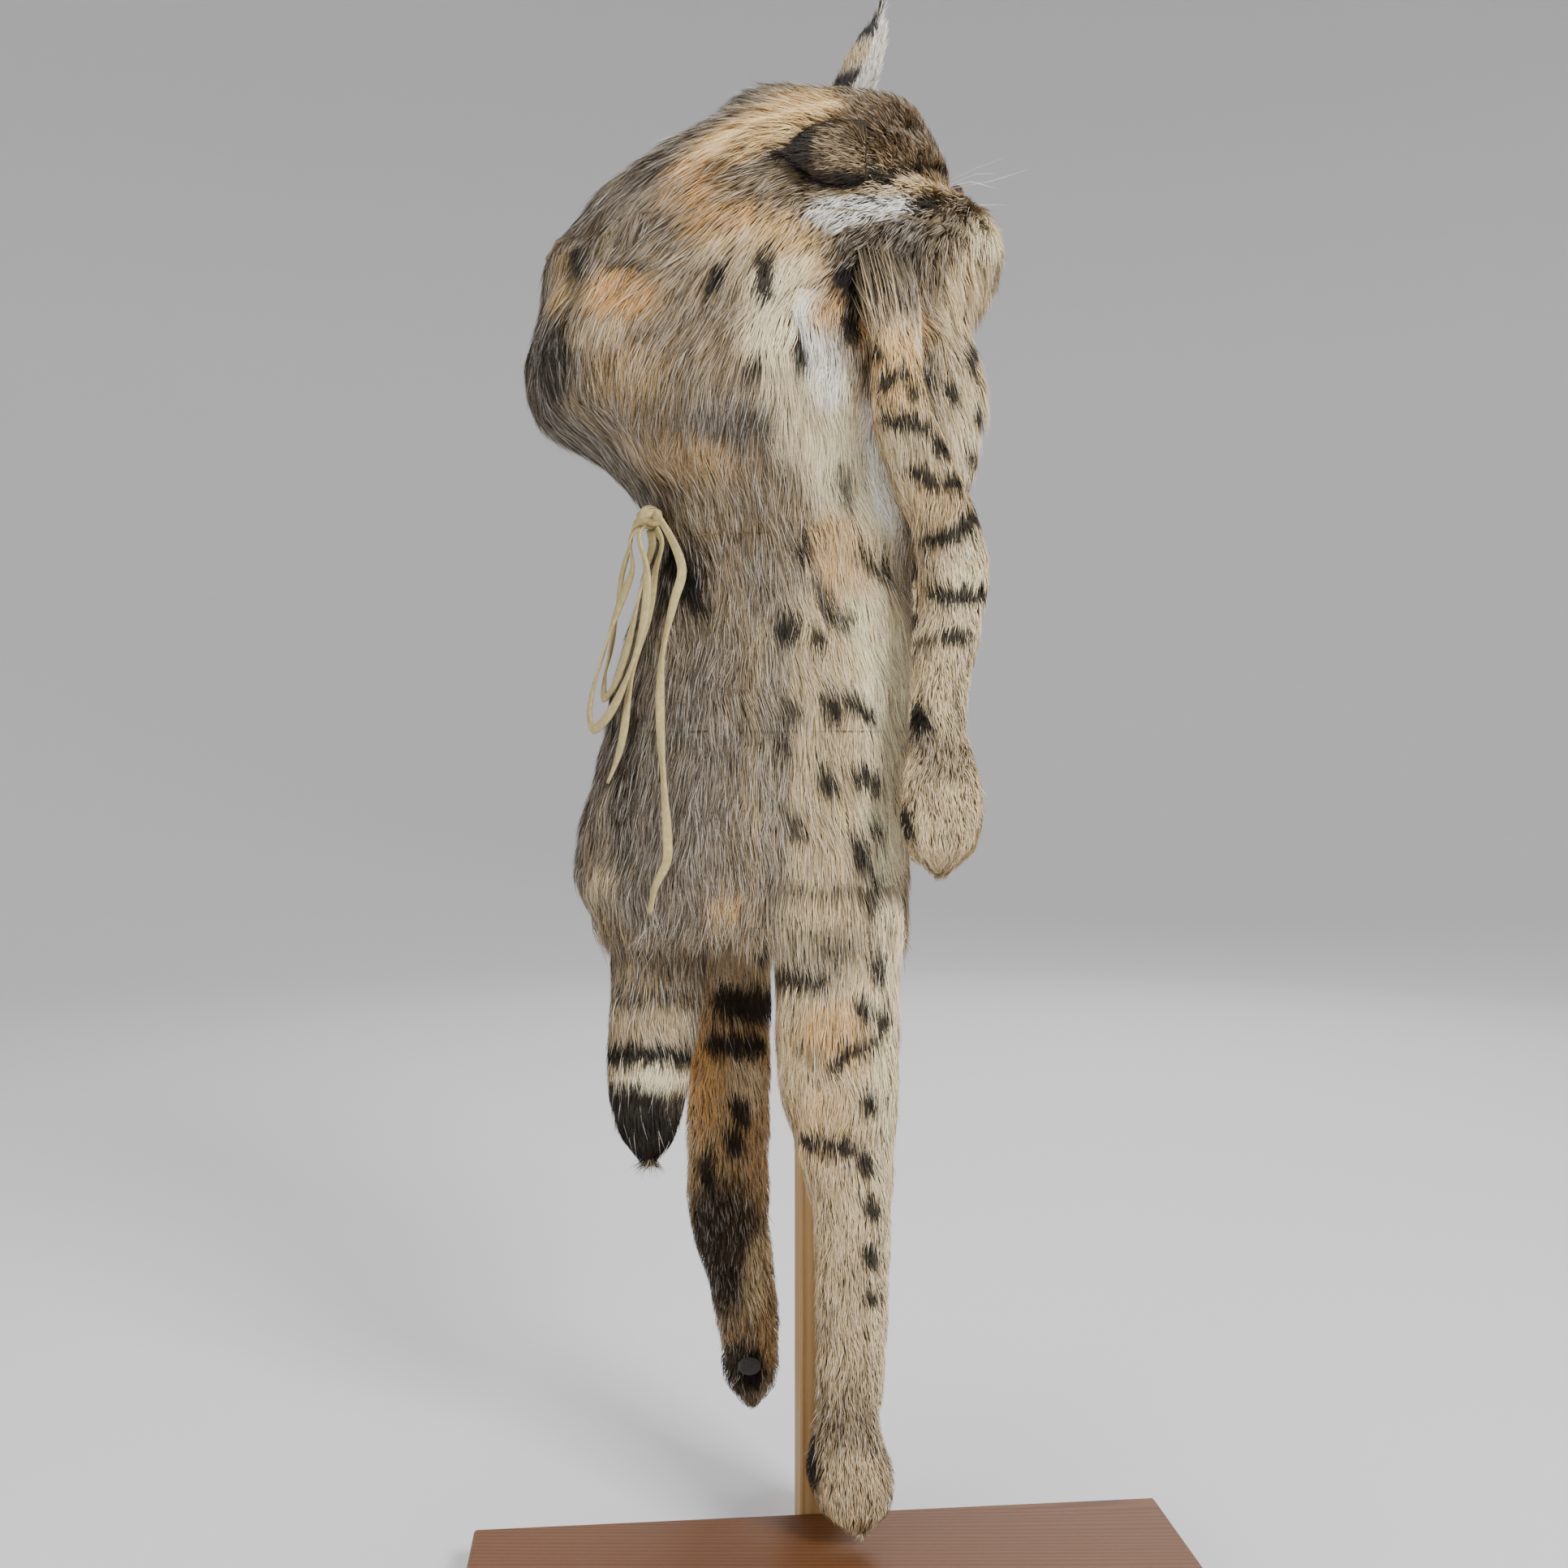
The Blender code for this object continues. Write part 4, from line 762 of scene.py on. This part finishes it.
# Where the fur stands up in a tuft: place on the chart, reach, and lift of the tips in millimetres.
TUFTS = [
    (960, 100, 34, 9), (1118, 372, 26, 13), (1080, 392, 16, 8), (990, 260, 30, 4), (905, 240, 36, 5),
    (860, 330, 40, 3), (740, 370, 40, 4), (1215, 310, 40, 6), (1190, 460, 60, 3), (960, 420, 60, 4),
    (1060, 640, 60, 4),
]
HEM_REACH = 0.030


def tuft_lift(points):
    place = chart(points)
    lift = np.zeros(len(points))
    for across, down, reach, height in TUFTS:
        gap = ((place - (across, down)) ** 2).sum(axis=1)
        lift += height * 0.001 * np.exp(-gap / (2 * reach**2))
    return lift


# A face counts as level from this share on. A piece's flat end lies within END_DEPTH of its top.
LEVEL_SHARE, END_DEPTH = 0.97, 0.004
SEAM_REACH = 0.0012
SMOOTHINGS = 3


class Skin:
    """The outer surface of one node, or of several that follow one another down, with smooth normals."""

    def __init__(self, node_names, middle=None):
        places, triangles, first = [], [], 0
        for node_name in node_names:
            mesh = NODES[node_name].data
            mesh.calc_loop_triangles()
            spots = np.empty(len(mesh.vertices) * 3)
            mesh.vertices.foreach_get("co", spots)
            corners = np.empty(len(mesh.loop_triangles) * 3, dtype=np.int32)
            mesh.loop_triangles.foreach_get("vertices", corners)
            places.append(spots.reshape(-1, 3))
            triangles.append(corners.reshape(-1, 3).astype(np.int64) + first)
            first += len(mesh.vertices)
        self.places = np.concatenate(places)
        triangles = np.concatenate(triangles)
        a, b, c = (self.places[triangles[:, i]] for i in range(3))
        cross = np.cross(b - a, c - a)
        centre = (a + b + c) / 3
        level = np.abs(cross[:, 2]) > LEVEL_SHARE * np.linalg.norm(cross, axis=1)
        if middle is None:
            top = self.places[:, 2].max()
            outer = ~(level & (centre[:, 2] > top - END_DEPTH))
        else:
            inside = centre * (0, 0, 1)
            inside[:, 0] = middle[0]
            inside[:, 2] = np.minimum(inside[:, 2], middle[1])
            outer = (cross * (centre - inside)).sum(axis=1) > 0
            outer &= ~(level & (centre[:, 2] < middle[1]))
        cross = cross[outer]
        self.faces = triangles[outer]
        self.areas = np.linalg.norm(cross, axis=1) / 2
        # Corners that meet over a seam share one normal.
        _, meets = np.unique(np.round(self.places / SEAM_REACH).astype(np.int64), axis=0, return_inverse=True)
        meets = meets.ravel()
        normals = np.zeros((meets.max() + 1, 3))
        corner_of = meets[self.faces]
        for i in range(3):
            np.add.at(normals, corner_of[:, i], cross)
        edges = np.concatenate([corner_of[:, [0, 1]], corner_of[:, [1, 2]], corner_of[:, [2, 0]]])
        for _ in range(SMOOTHINGS):
            size = 0.5 * np.linalg.norm(normals, axis=1)[:, None]
            spread = normals.copy()
            np.add.at(spread, edges[:, 0], unit(normals)[edges[:, 1]] * size[edges[:, 0]])
            np.add.at(spread, edges[:, 1], unit(normals)[edges[:, 0]] * size[edges[:, 1]])
            normals = spread
        self.normals = unit(normals)[meets]
        self.tree = BVHTree.FromPolygons(self.places.tolist(), self.faces.tolist())

    def scatter(self, count, rng, near_share=0.5):
        """Random places on the surface with their normals, near_share of them on the near side."""
        centre = self.places[self.faces].mean(axis=1)
        weight = self.areas.copy()
        near = centre[:, 1] < 0
        if near.any() and (~near).any():
            weight[near] *= near_share / weight[near].sum()
            weight[~near] *= (1 - near_share) / weight[~near].sum()
        pick = rng.choice(len(weight), size=count, p=weight / weight.sum())
        share = rng.random((count, 2))
        over = share.sum(axis=1) > 1
        share[over] = 1 - share[over]
        share = np.column_stack([1 - share.sum(axis=1), share])
        corners = self.faces[pick]
        places = (self.places[corners] * share[:, :, None]).sum(axis=1)
        normals = unit((self.normals[corners] * share[:, :, None]).sum(axis=1))
        return places, normals

    def settle(self, points, heights, along):
        """Brings points to a height over the surface, without moving them along the hair."""
        moved = np.empty_like(points)
        find = self.tree.find_nearest
        for i, place in enumerate(points.tolist()):
            near, normal, _, _ = find(place)
            rise = heights[i]
            moved[i] = (near.x + normal.x * rise, near.y + normal.y * rise, near.z + normal.z * rise)
        shift = moved - points
        shift -= along * (shift * along).sum(axis=1, keepdims=True)
        return points + shift


def gather(tips, mids, roots, rng, strength, per_lock):
    """Draws hairs together into locks: each follows the nearest of a few leading hairs."""
    count = len(tips)
    leaders = rng.choice(count, size=max(count // per_lock, 1), replace=False)
    tree = KDTree(len(leaders))
    for i, leader in enumerate(leaders.tolist()):
        tree.insert(roots[leader], i)
    tree.balance()
    follows = np.array([tree.find(place)[1] for place in roots.tolist()])
    leader = leaders[follows]
    pull = strength * rng.uniform(0.5, 1.0, count)[:, None]
    tips = tips * (1 - pull) + (tips[leader] + (roots - roots[leader]) * 0.25) * pull
    mids = mids * (1 - pull * 0.35) + (mids[leader] + (roots - roots[leader]) * 0.6) * pull * 0.35
    return tips, mids


def hair_mesh(name, roots, mids, tips, normals, width, colours, rng):
    """One tapered, bent blade for each hair: five corners, a four-sided face and a three-sided tip."""
    count = len(roots)
    along = unit(tips - roots)
    side = unit(np.cross(along, normals))
    roll = rng.uniform(-0.75, 0.75, count)[:, None]
    side = side * np.cos(roll) + unit(np.cross(side, along)) * np.sin(roll)
    half = width[:, None] / 2
    waist = side * half * 0.85
    corners = [roots - side * half, roots + side * half, mids - waist, mids + waist, tips]
    corners = np.stack(corners, axis=1).reshape(-1, 3)
    base = np.arange(count) * 5
    loops = np.empty((count, 7), dtype=np.int32)
    for column, corner in enumerate((0, 1, 3, 2, 2, 3, 4)):
        loops[:, column] = base + corner
    starts = np.empty((count, 2), dtype=np.int32)
    starts[:, 0] = np.arange(count) * 7
    starts[:, 1] = starts[:, 0] + 4
    mesh = bpy.data.meshes.new(name)
    mesh.vertices.add(len(corners))
    mesh.vertices.foreach_set("co", corners.ravel())
    mesh.loops.add(loops.size)
    mesh.loops.foreach_set("vertex_index", loops.ravel())
    mesh.polygons.add(starts.size)
    mesh.polygons.foreach_set("loop_start", starts.ravel())
    paint_coat(mesh, colours.reshape(-1, 3))
    # Each hair has its own cell of the bake's map.
    cells = math.ceil(math.sqrt(count))
    cell = np.stack([np.arange(count) % cells, np.arange(count) // cells], axis=1) / cells
    quad, point = [(0.2, 0.1), (0.8, 0.1), (0.8, 0.5), (0.2, 0.5)], [(0.2, 0.5), (0.8, 0.5), (0.5, 0.9)]
    spots = np.array(quad + point)
    layer = mesh.uv_layers.new(name="OFBake")
    places = cell[:, None, :] + spots[None, :, :] / cells
    layer.data.foreach_set("uv", places.ravel())
    mesh.update(calc_edges=True)
    mesh.validate()
    return mesh


HAIR = fur_material("guard_hair", 900.0, 0.14, 0.62)
UNDERFUR = fur_material("underfur", 700.0, 0.22, 0.95)
TANNED = leather_material("tanned_skin", (214, 196, 160), 60.0, 0.85, 0.0006)

# How each pelt piece's fur grows: its nodes, how many hairs, the near side's share, how deep the roots
# are under the outer surface, the hairs' width, how far tips stand up, how strongly and in what number
# they gather in locks, and the hair's lengths down the piece where it hangs, in millimetres.
# middle is the hollow's axis and the height where the crown closes over it.
FURS = {
    "pelt": dict(
        nodes=["hood_head", "hood_neck", "cape_back", "cape_rump"],
        count=176000,
        near=0.60,
        depth=0.0065,
        width=0.00060,
        rise=0.0020,
        lock=0.5,
        per_lock=34,
        middle=(-0.035, 0.86),
    ),
    "hind_leg_near": dict(
        count=32000, near=0.60, depth=0.0045, width=0.00062, rise=0.0014, lengths=(30, 22, 16, 13, 11, 8)
    ),
    "hind_leg_far": dict(
        count=22000, near=0.70, depth=0.0045, width=0.00065, rise=0.0014, lengths=(26, 20, 15, 13, 11, 8)
    ),
    "fore_leg_near": dict(
        count=26000, near=0.65, depth=0.0040, width=0.00062, rise=0.0013, lengths=(20, 18, 15, 13, 10, 8)
    ),
    "fore_leg_far": dict(
        count=16000, near=0.40, depth=0.0040, width=0.00072, rise=0.0013, lengths=(20, 18, 15, 13, 10, 8)
    ),
    "tail": dict(
        count=17000, near=0.60, depth=0.0050, width=0.00068, rise=0.0018, lengths=(26, 24, 22, 22, 20)
    ),
}
LOCK_PULL = 0.35
GUARD_SHARE, LONG_SHARE = 0.10, 0.012
HAIRS_IN_A_LOCK = 24


# How much lighter a hair's middle and tip are than the coat, how much hairs vary, how dark the middle of
# a black-tipped hair is, the chance above which a tip is silver, and how dark a hair's root is: its
# undercoat colour, darkened further with painted shade.
MIDDLE_GAIN, TIP_GAIN, HAIR_VARIETY, GRIZZLE_GAIN = 1.18, 1.25, 0.16, 0.62
SILVER_FROM, UNDER_AND_SHADE_GAIN = 0.80, 0.30


def hair_colours(node_name, points, normals, rng):
    """Root, middle and tip colours: hairs are paler below their tips, and many tips are dark."""
    colour, cover = coat(node_name, points, normals, rng)
    count = len(points)
    lightness = colour.mean(axis=1)
    vary = rng.normal(1.0, HAIR_VARIETY, count)[:, None]
    dark = linear("black")
    marked = np.clip(cover * 1.7, 0, 1) * (rng.random(count) < cover * 1.9)
    marked = marked[:, None]
    middle = colour * MIDDLE_GAIN * vary
    middle = middle * (1 - marked * 0.93) + dark * 1.2 * marked * 0.93
    tip = colour * TIP_GAIN * vary
    # Grizzle: the darker the ground, the more hairs end black, and some end white everywhere.
    chance = rng.random(count)
    grizzled = chance < np.clip(0.72 - 1.5 * lightness, 0.04, 0.62)
    silver = chance > SILVER_FROM
    tip = np.where(grizzled[:, None], dark * 1.3, tip)
    middle = np.where(grizzled[:, None], middle * GRIZZLE_GAIN, middle)
    tip = np.where(silver[:, None], linear("white") * 0.75 + 0.2 * tip, tip)
    tip = tip * (1 - marked) + dark * marked
    # The root: the undercoat's colour, made darker still as painted shade for the hairs that cover it.
    ground = linear("under") * np.clip(lightness * 3.0, 0.3, 1.0)[:, None]
    under = (0.45 * colour + 0.55 * ground) * UNDER_AND_SHADE_GAIN
    under = under * (1 - marked * 0.6)
    return np.stack([under, under, middle, middle, tip], axis=1)


def grow(node_name, skin, fur, rng):
    """All the hairs of a node, as arrays."""
    points, normals = skin.scatter(fur["count"], rng, fur["near"])
    count = len(points)
    if "lengths" in fur:
        flow, length = hanging_fur(node_name, points, fur["lengths"])
    else:
        flow, length = lie_of_fur(points)
    flow = flow - normals * (flow * normals).sum(axis=1, keepdims=True)
    flow = unit(flow + np.array([0, 0, -1e-4]))
    side = np.cross(normals, flow)
    sway = 0.22 * drift(points, 0.035, 21) + rng.normal(0.0, 0.16, count)
    flow = unit(flow + side * sway[:, None])
    guard = rng.random(count) < GUARD_SHARE
    long = rng.random(count) < LONG_SHARE
    length = length * rng.uniform(0.72, 1.12, count)
    length = length * np.where(guard, 1.18, 1.0) * np.where(long, 1.45, 1.0)
    # Hairs near a hem differ more in length, so that no edge is cut straight.
    hem = fade(points[:, 2], skin.places[:, 2].min() + HEM_REACH, skin.places[:, 2].min())
    length *= 1 + hem * rng.uniform(-0.45, 0.35, count)
    roots = points - normals * fur["depth"]
    mids = points + flow * (length * 0.42)[:, None]
    tips = points + flow * (length * 0.96)[:, None]
    rise = fur["rise"] * rng.uniform(-1.2, 1.0, count) + np.where(guard, fur["rise"] * 0.9, 0.0)
    rise += np.where(long, rng.uniform(0.001, 0.007, count), 0.0)
    if "nodes" in fur:
        rise += tuft_lift(points) * rng.uniform(0.5, 1.2, count)
    mids = skin.settle(mids, -fur["depth"] * 0.22 + rise * 0.4, flow)
    tips = skin.settle(tips, rise, flow)
    pull, per_lock = fur.get("lock", LOCK_PULL), fur.get("per_lock", HAIRS_IN_A_LOCK)
    tips, mids = gather(tips, mids, roots, rng, pull, per_lock)
    colours = hair_colours(node_name, tips * 0.75 + mids * 0.25, normals, rng)
    colours[long, 2:] = colours[long, 2:] * 0.4 + linear("white") * 0.6
    width = fur["width"] * rng.uniform(0.7, 1.25, count) * np.where(long, 0.6, 1.0)
    return roots, mids, tips, normals, width, colours


def fur_piece(name, hairs, rng, slot, keep=slice(None)):
    mesh = hair_mesh(name, *(part[keep] for part in hairs), rng)
    own_piece(link_mesh(name, mesh, HAIR, smooth=False))


def hide_piece(node_name, skin, first, fur, rng):
    """The hide under the fur: the node's own form, drawn in under the hairs. first is the place of the
    node's first corner in the skin."""
    mesh = NODES[node_name].data.copy()
    mesh.name = node_name + "_hide"
    own = slice(first, first + len(mesh.vertices))
    outer = np.zeros(len(skin.places), dtype=bool)
    outer[skin.faces.ravel()] = True
    places = skin.places.copy()
    places[outer] -= skin.normals[outer] * fur["depth"]
    mesh.vertices.foreach_set("co", places[own].ravel())
    mesh.materials.clear()
    shape = bmesh.new()
    shape.from_mesh(mesh)
    bmesh.ops.triangulate(shape, faces=shape.faces)
    bmesh.ops.subdivide_edges(shape, edges=shape.edges, cuts=1, use_grid_fill=True)
    shape.to_mesh(mesh)
    shape.free()
    count = len(mesh.vertices)
    places, normals = np.empty(count * 3), np.empty(count * 3)
    mesh.vertices.foreach_get("co", places)
    mesh.vertices.foreach_get("normal", normals)
    places, normals = places.reshape(-1, 3), normals.reshape(-1, 3)
    colour, cover = coat(node_name, places, normals, rng)
    # The hide's colour: coat and undercoat mixed, darker under the marks, and times 0.55 as painted shade
    # under the hairs.
    colour = (colour * 0.6 + linear("under") * 0.4) * 0.55 * (1 - 0.75 * cover[:, None])
    paint_coat(mesh, colour)
    piece = link_mesh(node_name + "_hide", mesh, UNDERFUR)
    if "middle" in fur:
        mesh.materials.append(TANNED)
        for face in mesh.polygons:
            inside = Vector((fur["middle"][0], 0.0, min(face.center.z, fur["middle"][1])))
            face.material_index = 0 if face.normal.dot(face.center - inside) > 0 else 1
    own_piece(piece, node_name)


def paint_coat(mesh, colours):
    rgba = np.ones((len(colours), 4))
    rgba[:, :3] = np.clip(colours, 0.0, 1.0)
    paint = mesh.attributes.new("coat", "FLOAT_COLOR", "POINT")
    paint.data.foreach_set("color", rgba.ravel())


# Fur of the pelt that falls over the tops of the pieces which hang from it: how many hairs.
BRIDGED = dict(hind_leg_near=5000, hind_leg_far=2500, fore_leg_near=4200, fore_leg_far=2500, tail=3000)


BRIDGE_TRIES = 14
# How far the hairs reach down the piece, how far over its top they start, and how high they arch.
BRIDGE_REACH, BRIDGE_START, BRIDGE_ARCH = (0.008, 0.026), (0.002, 0.032), 0.0035


def bridge(name, pelt, skin, fur, rng):
    """Hairs that start on the pelt above a piece and lie over the piece's upper end."""
    count = BRIDGED[name]
    top = skin.places[:, 2].max()
    points, normals = skin.scatter(count * BRIDGE_TRIES, rng)
    out = unit(np.stack([points[:, 0] - HAT_AXIS.x, points[:, 1], np.zeros(len(points))], axis=1))
    reach = BRIDGE_REACH[0] + BRIDGE_REACH[1] * rng.random(len(points)) ** 1.5
    wanted = (points[:, 2] > top - reach) & ((normals * out).sum(axis=1) > -0.1)
    points, normals = points[wanted][:count], normals[wanted][:count]
    count = len(points)
    above = points.copy()
    above[:, 0] += rng.normal(0.0, 0.0035, count)
    above[:, 2] = top + BRIDGE_START[0] + BRIDGE_START[1] * rng.random(count) ** 1.3
    roots, facing = np.empty_like(points), np.empty_like(points)
    for i, place in enumerate(above.tolist()):
        near, normal, _, _ = pelt.tree.find_nearest(place)
        roots[i] = near - normal * fur["depth"]
        facing[i] = normal
    lift = rng.uniform(0.0002, 0.0030, count)[:, None]
    mids = points * 0.55 + roots * 0.45 + (normals + facing) * 0.5 * (lift + BRIDGE_ARCH)
    tips = points + normals * lift * 0.8
    colours = hair_colours(name, tips, normals, rng)
    above_colours = hair_colours("pelt", roots, facing, rng)
    share = fade(tips[:, 2], top - 0.030, top - 0.004)[:, None, None]
    colours = colours * (1.0 - share) + above_colours * share
    width = fur["width"] * rng.uniform(0.7, 1.25, count)
    return roots, mids, tips, facing, width, colours


def build_pelt():
    for order, (name, fur) in enumerate(FURS.items()):
        rng = np.random.default_rng(100 + order)
        nodes = fur.get("nodes", [name])
        skin = Skin(nodes, fur.get("middle"))
        slot = "grizzled_fur" if name == "pelt" else "pale_fur"
        first = 0
        for node_name in nodes:
            hide_piece(node_name, skin, first, fur, rng)
            first += len(NODES[node_name].data.vertices)
        hairs = grow(name, skin, fur, rng)
        if name == "pelt":
            pelt = skin
        else:
            over = bridge(name, pelt, skin, fur, rng)
            hairs = [np.concatenate(pair) for pair in zip(hairs, over)]
        side, height = hairs[0][:, 1], hairs[0][:, 2]
        if name == "pelt":
            # The pelt's fur is kept in pieces as its nodes are, each side of the spine for itself.
            ends = [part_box(node_name)[0][2] for node_name in nodes]
            band = sum((height < end).astype(int) for end in ends[:-1])
            for i, node_name in enumerate(nodes):
                for ending, keep in (("_fur_near", side < 0), ("_fur_far", side >= 0)):
                    fur_piece(node_name + ending, hairs, rng, slot, keep & (band == i))
        else:
            fur_piece(name + "_fur", hairs, rng, slot)


build_pelt()


# Each ear's bands: tint, and the shares of its length where the band starts and ends.
EAR_MARKS = {
    "ear_far": [
        ("dark_grizzle", -0.10, 0.22),
        ("black", 0.22, 0.48),
        ("sand", 0.48, 0.68),
        ("black", 0.68, 1.10),
    ],
    "ear_near": [("black", 0.52, 1.10)],
}


def build_ears():
    """Short fur over each ear's leaf, longer and black at its tip."""
    for order, (name, bands) in enumerate(EAR_MARKS.items()):
        rng = np.random.default_rng(300 + order)
        skin = Skin([name])
        low, high = (np.array(corner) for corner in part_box(name))
        upright = name == "ear_far"
        count = 7000 if upright else 4500
        points, normals = skin.scatter(count, rng)
        if upright:
            share = (points[:, 2] - low[2]) / (high[2] - low[2])
            flow = np.tile([0.25, 0.0, 1.0], (count, 1))
        else:
            share = (high[0] - points[:, 0]) / (high[0] - low[0])
            flow = np.tile([-1.0, 0.0, -0.15], (count, 1))
        flow = unit(flow - normals * (flow * normals).sum(axis=1, keepdims=True))
        flow = unit(flow + rng.normal(0, 0.14, (count, 3)))
        length = rng.uniform(0.006, 0.011, count) * np.where(share > 0.85, 1.5, 1.0)
        roots = points - normals * 0.0008
        mids = points + flow * (length * 0.45)[:, None] + normals * 0.0006
        tips = points + flow * length[:, None] + normals * rng.uniform(0.0002, 0.0016, count)[:, None]
        base = np.tile(linear("white" if upright else "agouti"), (count, 1))
        if not upright:
            # The folded ear is grizzled towards its root, with a dark line along its lower edge.
            base *= rng.choice([0.35, 1.0, 1.7], count, p=[0.35, 0.4, 0.25])[:, None]
            low_edge = 1 - fade(points[:, 2], low[2] + 0.006, low[2] + 0.013)
            base = base * (1 - low_edge[:, None]) + linear("black") * low_edge[:, None]
        for tint, start, end in bands:
            cover = fade(share, start - 0.05, start + 0.05) * (1 - fade(share, end - 0.05, end + 0.05))
            if upright:
                # The ear's open face is white, and its edge carries the dark bands.
                cover = np.where(normals[:, 0] > 0.1, cover * 0.12, cover)
            cover = (cover * 0.95)[:, None]
            base = base * (1 - cover) + linear(tint) * cover
        base = base * rng.normal(1.0, 0.14, count)[:, None]
        # Hair roots at half the colour: painted shade under the hairs.
        colours = np.stack([base * 0.5, base * 0.5, base, base, base * 1.05], axis=1)
        width = rng.uniform(0.0005, 0.0008, count)
        hairs = (roots, mids, tips, normals, width, colours)
        fur_piece(name + "_fur", hairs, rng, "dark_fur")
        mesh = NODES[name].data.copy()
        mesh.materials.clear()
        # The leaf under the ear's fur, in undercoat or umber darkened as painted shade.
        paint_coat(mesh, np.tile(linear("under" if upright else "umber") * 0.6, (len(mesh.vertices), 1)))
        own_piece(link_mesh(name + "_leaf", mesh, UNDERFUR), name)


build_ears()


# Whiskers on each side of the nose.
WHISKERS = 7


def build_whiskers():
    """Long stiff hairs beside the nose."""
    rng = np.random.default_rng(77)
    _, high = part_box("nose")
    roots, mids, tips = [], [], []
    for side in (-1, 1):
        for i in range(WHISKERS):
            root = Vector(
                (
                    high[0] - 0.010 - 0.0035 * (i % 3),
                    side * (0.013 + 0.002 * (i % 2)),
                    high[2] - 0.004 - 0.0035 * (i // 3),
                )
            )
            reach = Vector((0.9, side * rng.uniform(0.25, 0.9), rng.uniform(-0.12, 0.35))).normalized()
            length = rng.uniform(0.032, 0.058)
            roots.append(root)
            mids.append(root + reach * length * 0.5)
            tips.append(root + reach * length + Vector((0, 0, rng.uniform(-0.012, 0.004))))
    count = len(roots)
    roots, mids, tips = (np.array(part) for part in (roots, mids, tips))
    normals = np.tile([0.0, 0.0, 1.0], (count, 1)) + rng.normal(0, 0.3, (count, 3))
    colours = np.tile(linear("white"), (count, 5, 1))
    width = np.full(count, 0.0006)
    fur_piece("whiskers", (roots, mids, tips, normals, width, colours), rng, "pale_fur")


build_whiskers()

# Nose, pads and stand keep their CAD solids.
NOSE = leather_material("nose_skin", (74, 52, 46), 900.0, 0.45, 0.0003)
PAD = leather_material("paw_pad", (92, 90, 92), 700.0, 0.6, 0.0004)
PINE = wood_material("pine", (205, 168, 112), (150, 108, 62), (9.0, 9.0, 0.6), 9.0, 0.62)
STAINED = wood_material(
    "stained_board", (122, 76, 40), (52, 29, 15), (0.5, 8.0, 8.0), 9.0, 0.42, (170, 122, 78)
)
KEPT = {"nose": NOSE, "post": PINE, "hat_block": PINE, "board": STAINED}
KEPT.update({f"{leg}_pad_{side}": PAD for leg in ("hind", "fore") for side in ("near", "far")})
for node_name, material in KEPT.items():
    for place in NODES[node_name].material_slots:
        place.material = material


# Floor and light.
def build_stage():
    """A pale floor that curves up into a wall all round."""
    reach, curve, height, sides, steps = 5.0, 2.0, 7.0, 96, 14
    rows = [(reach - curve, 0.0)]
    for step in range(1, steps + 1):
        turn = math.pi / 2 * step / steps
        rows.append((reach - curve + curve * math.sin(turn), curve * (1 - math.cos(turn))))
    rows.append((reach, height))
    shape = bmesh.new()
    middle = shape.verts.new((0, 0, 0))
    rings = []
    for radius, level in rows:
        turns = [2 * math.pi * i / sides for i in range(sides)]
        rings.append([shape.verts.new((radius * math.cos(t), radius * math.sin(t), level)) for t in turns])
    for i in range(sides):
        after = (i + 1) % sides
        shape.faces.new((middle, rings[0][i], rings[0][after]))
        for upper, lower in zip(rings[1:], rings):
            shape.faces.new((lower[i], upper[i], upper[after], lower[after]))
    mesh = bpy.data.meshes.new("backdrop")
    shape.to_mesh(mesh)
    shape.free()
    material, _, shader = new_material("pale_backdrop")
    set_inputs(shader, Base_Color=(0.74, 0.74, 0.75, 1.0), Roughness=0.9)
    link_mesh("backdrop", mesh, material)


def area_light(name, place, aim, size, power):
    data = bpy.data.lights.new(name, "AREA")
    data.shape = "SQUARE"
    data.size = size
    data.energy = power
    lamp = bpy.data.objects.new(name, data)
    lamp.location = place
    lamp.rotation_euler = (Vector(aim) - Vector(place)).to_track_quat("-Z", "Y").to_euler()
    bpy.context.scene.collection.objects.link(lamp)


build_stage()
area_light("key", (1.5, -2.0, 2.2), (0, 0, 0.6), 0.9, 98.0)
area_light("fill", (-2.0, -1.8, 1.3), (0, 0, 0.5), 1.8, 20.0)
area_light("top", (-0.2, 0.2, 3.2), (0, 0, 0.5), 1.6, 46.0)
area_light("behind", (0.8, 2.4, 2.0), (0, 0, 0.6), 1.6, 32.0)
world = bpy.data.worlds.new("studio")
world.use_nodes = True
set_inputs(world.node_tree.nodes["Background"], Color=(0.85, 0.84, 0.82, 1.0), Strength=0.42)
bpy.context.scene.world = world
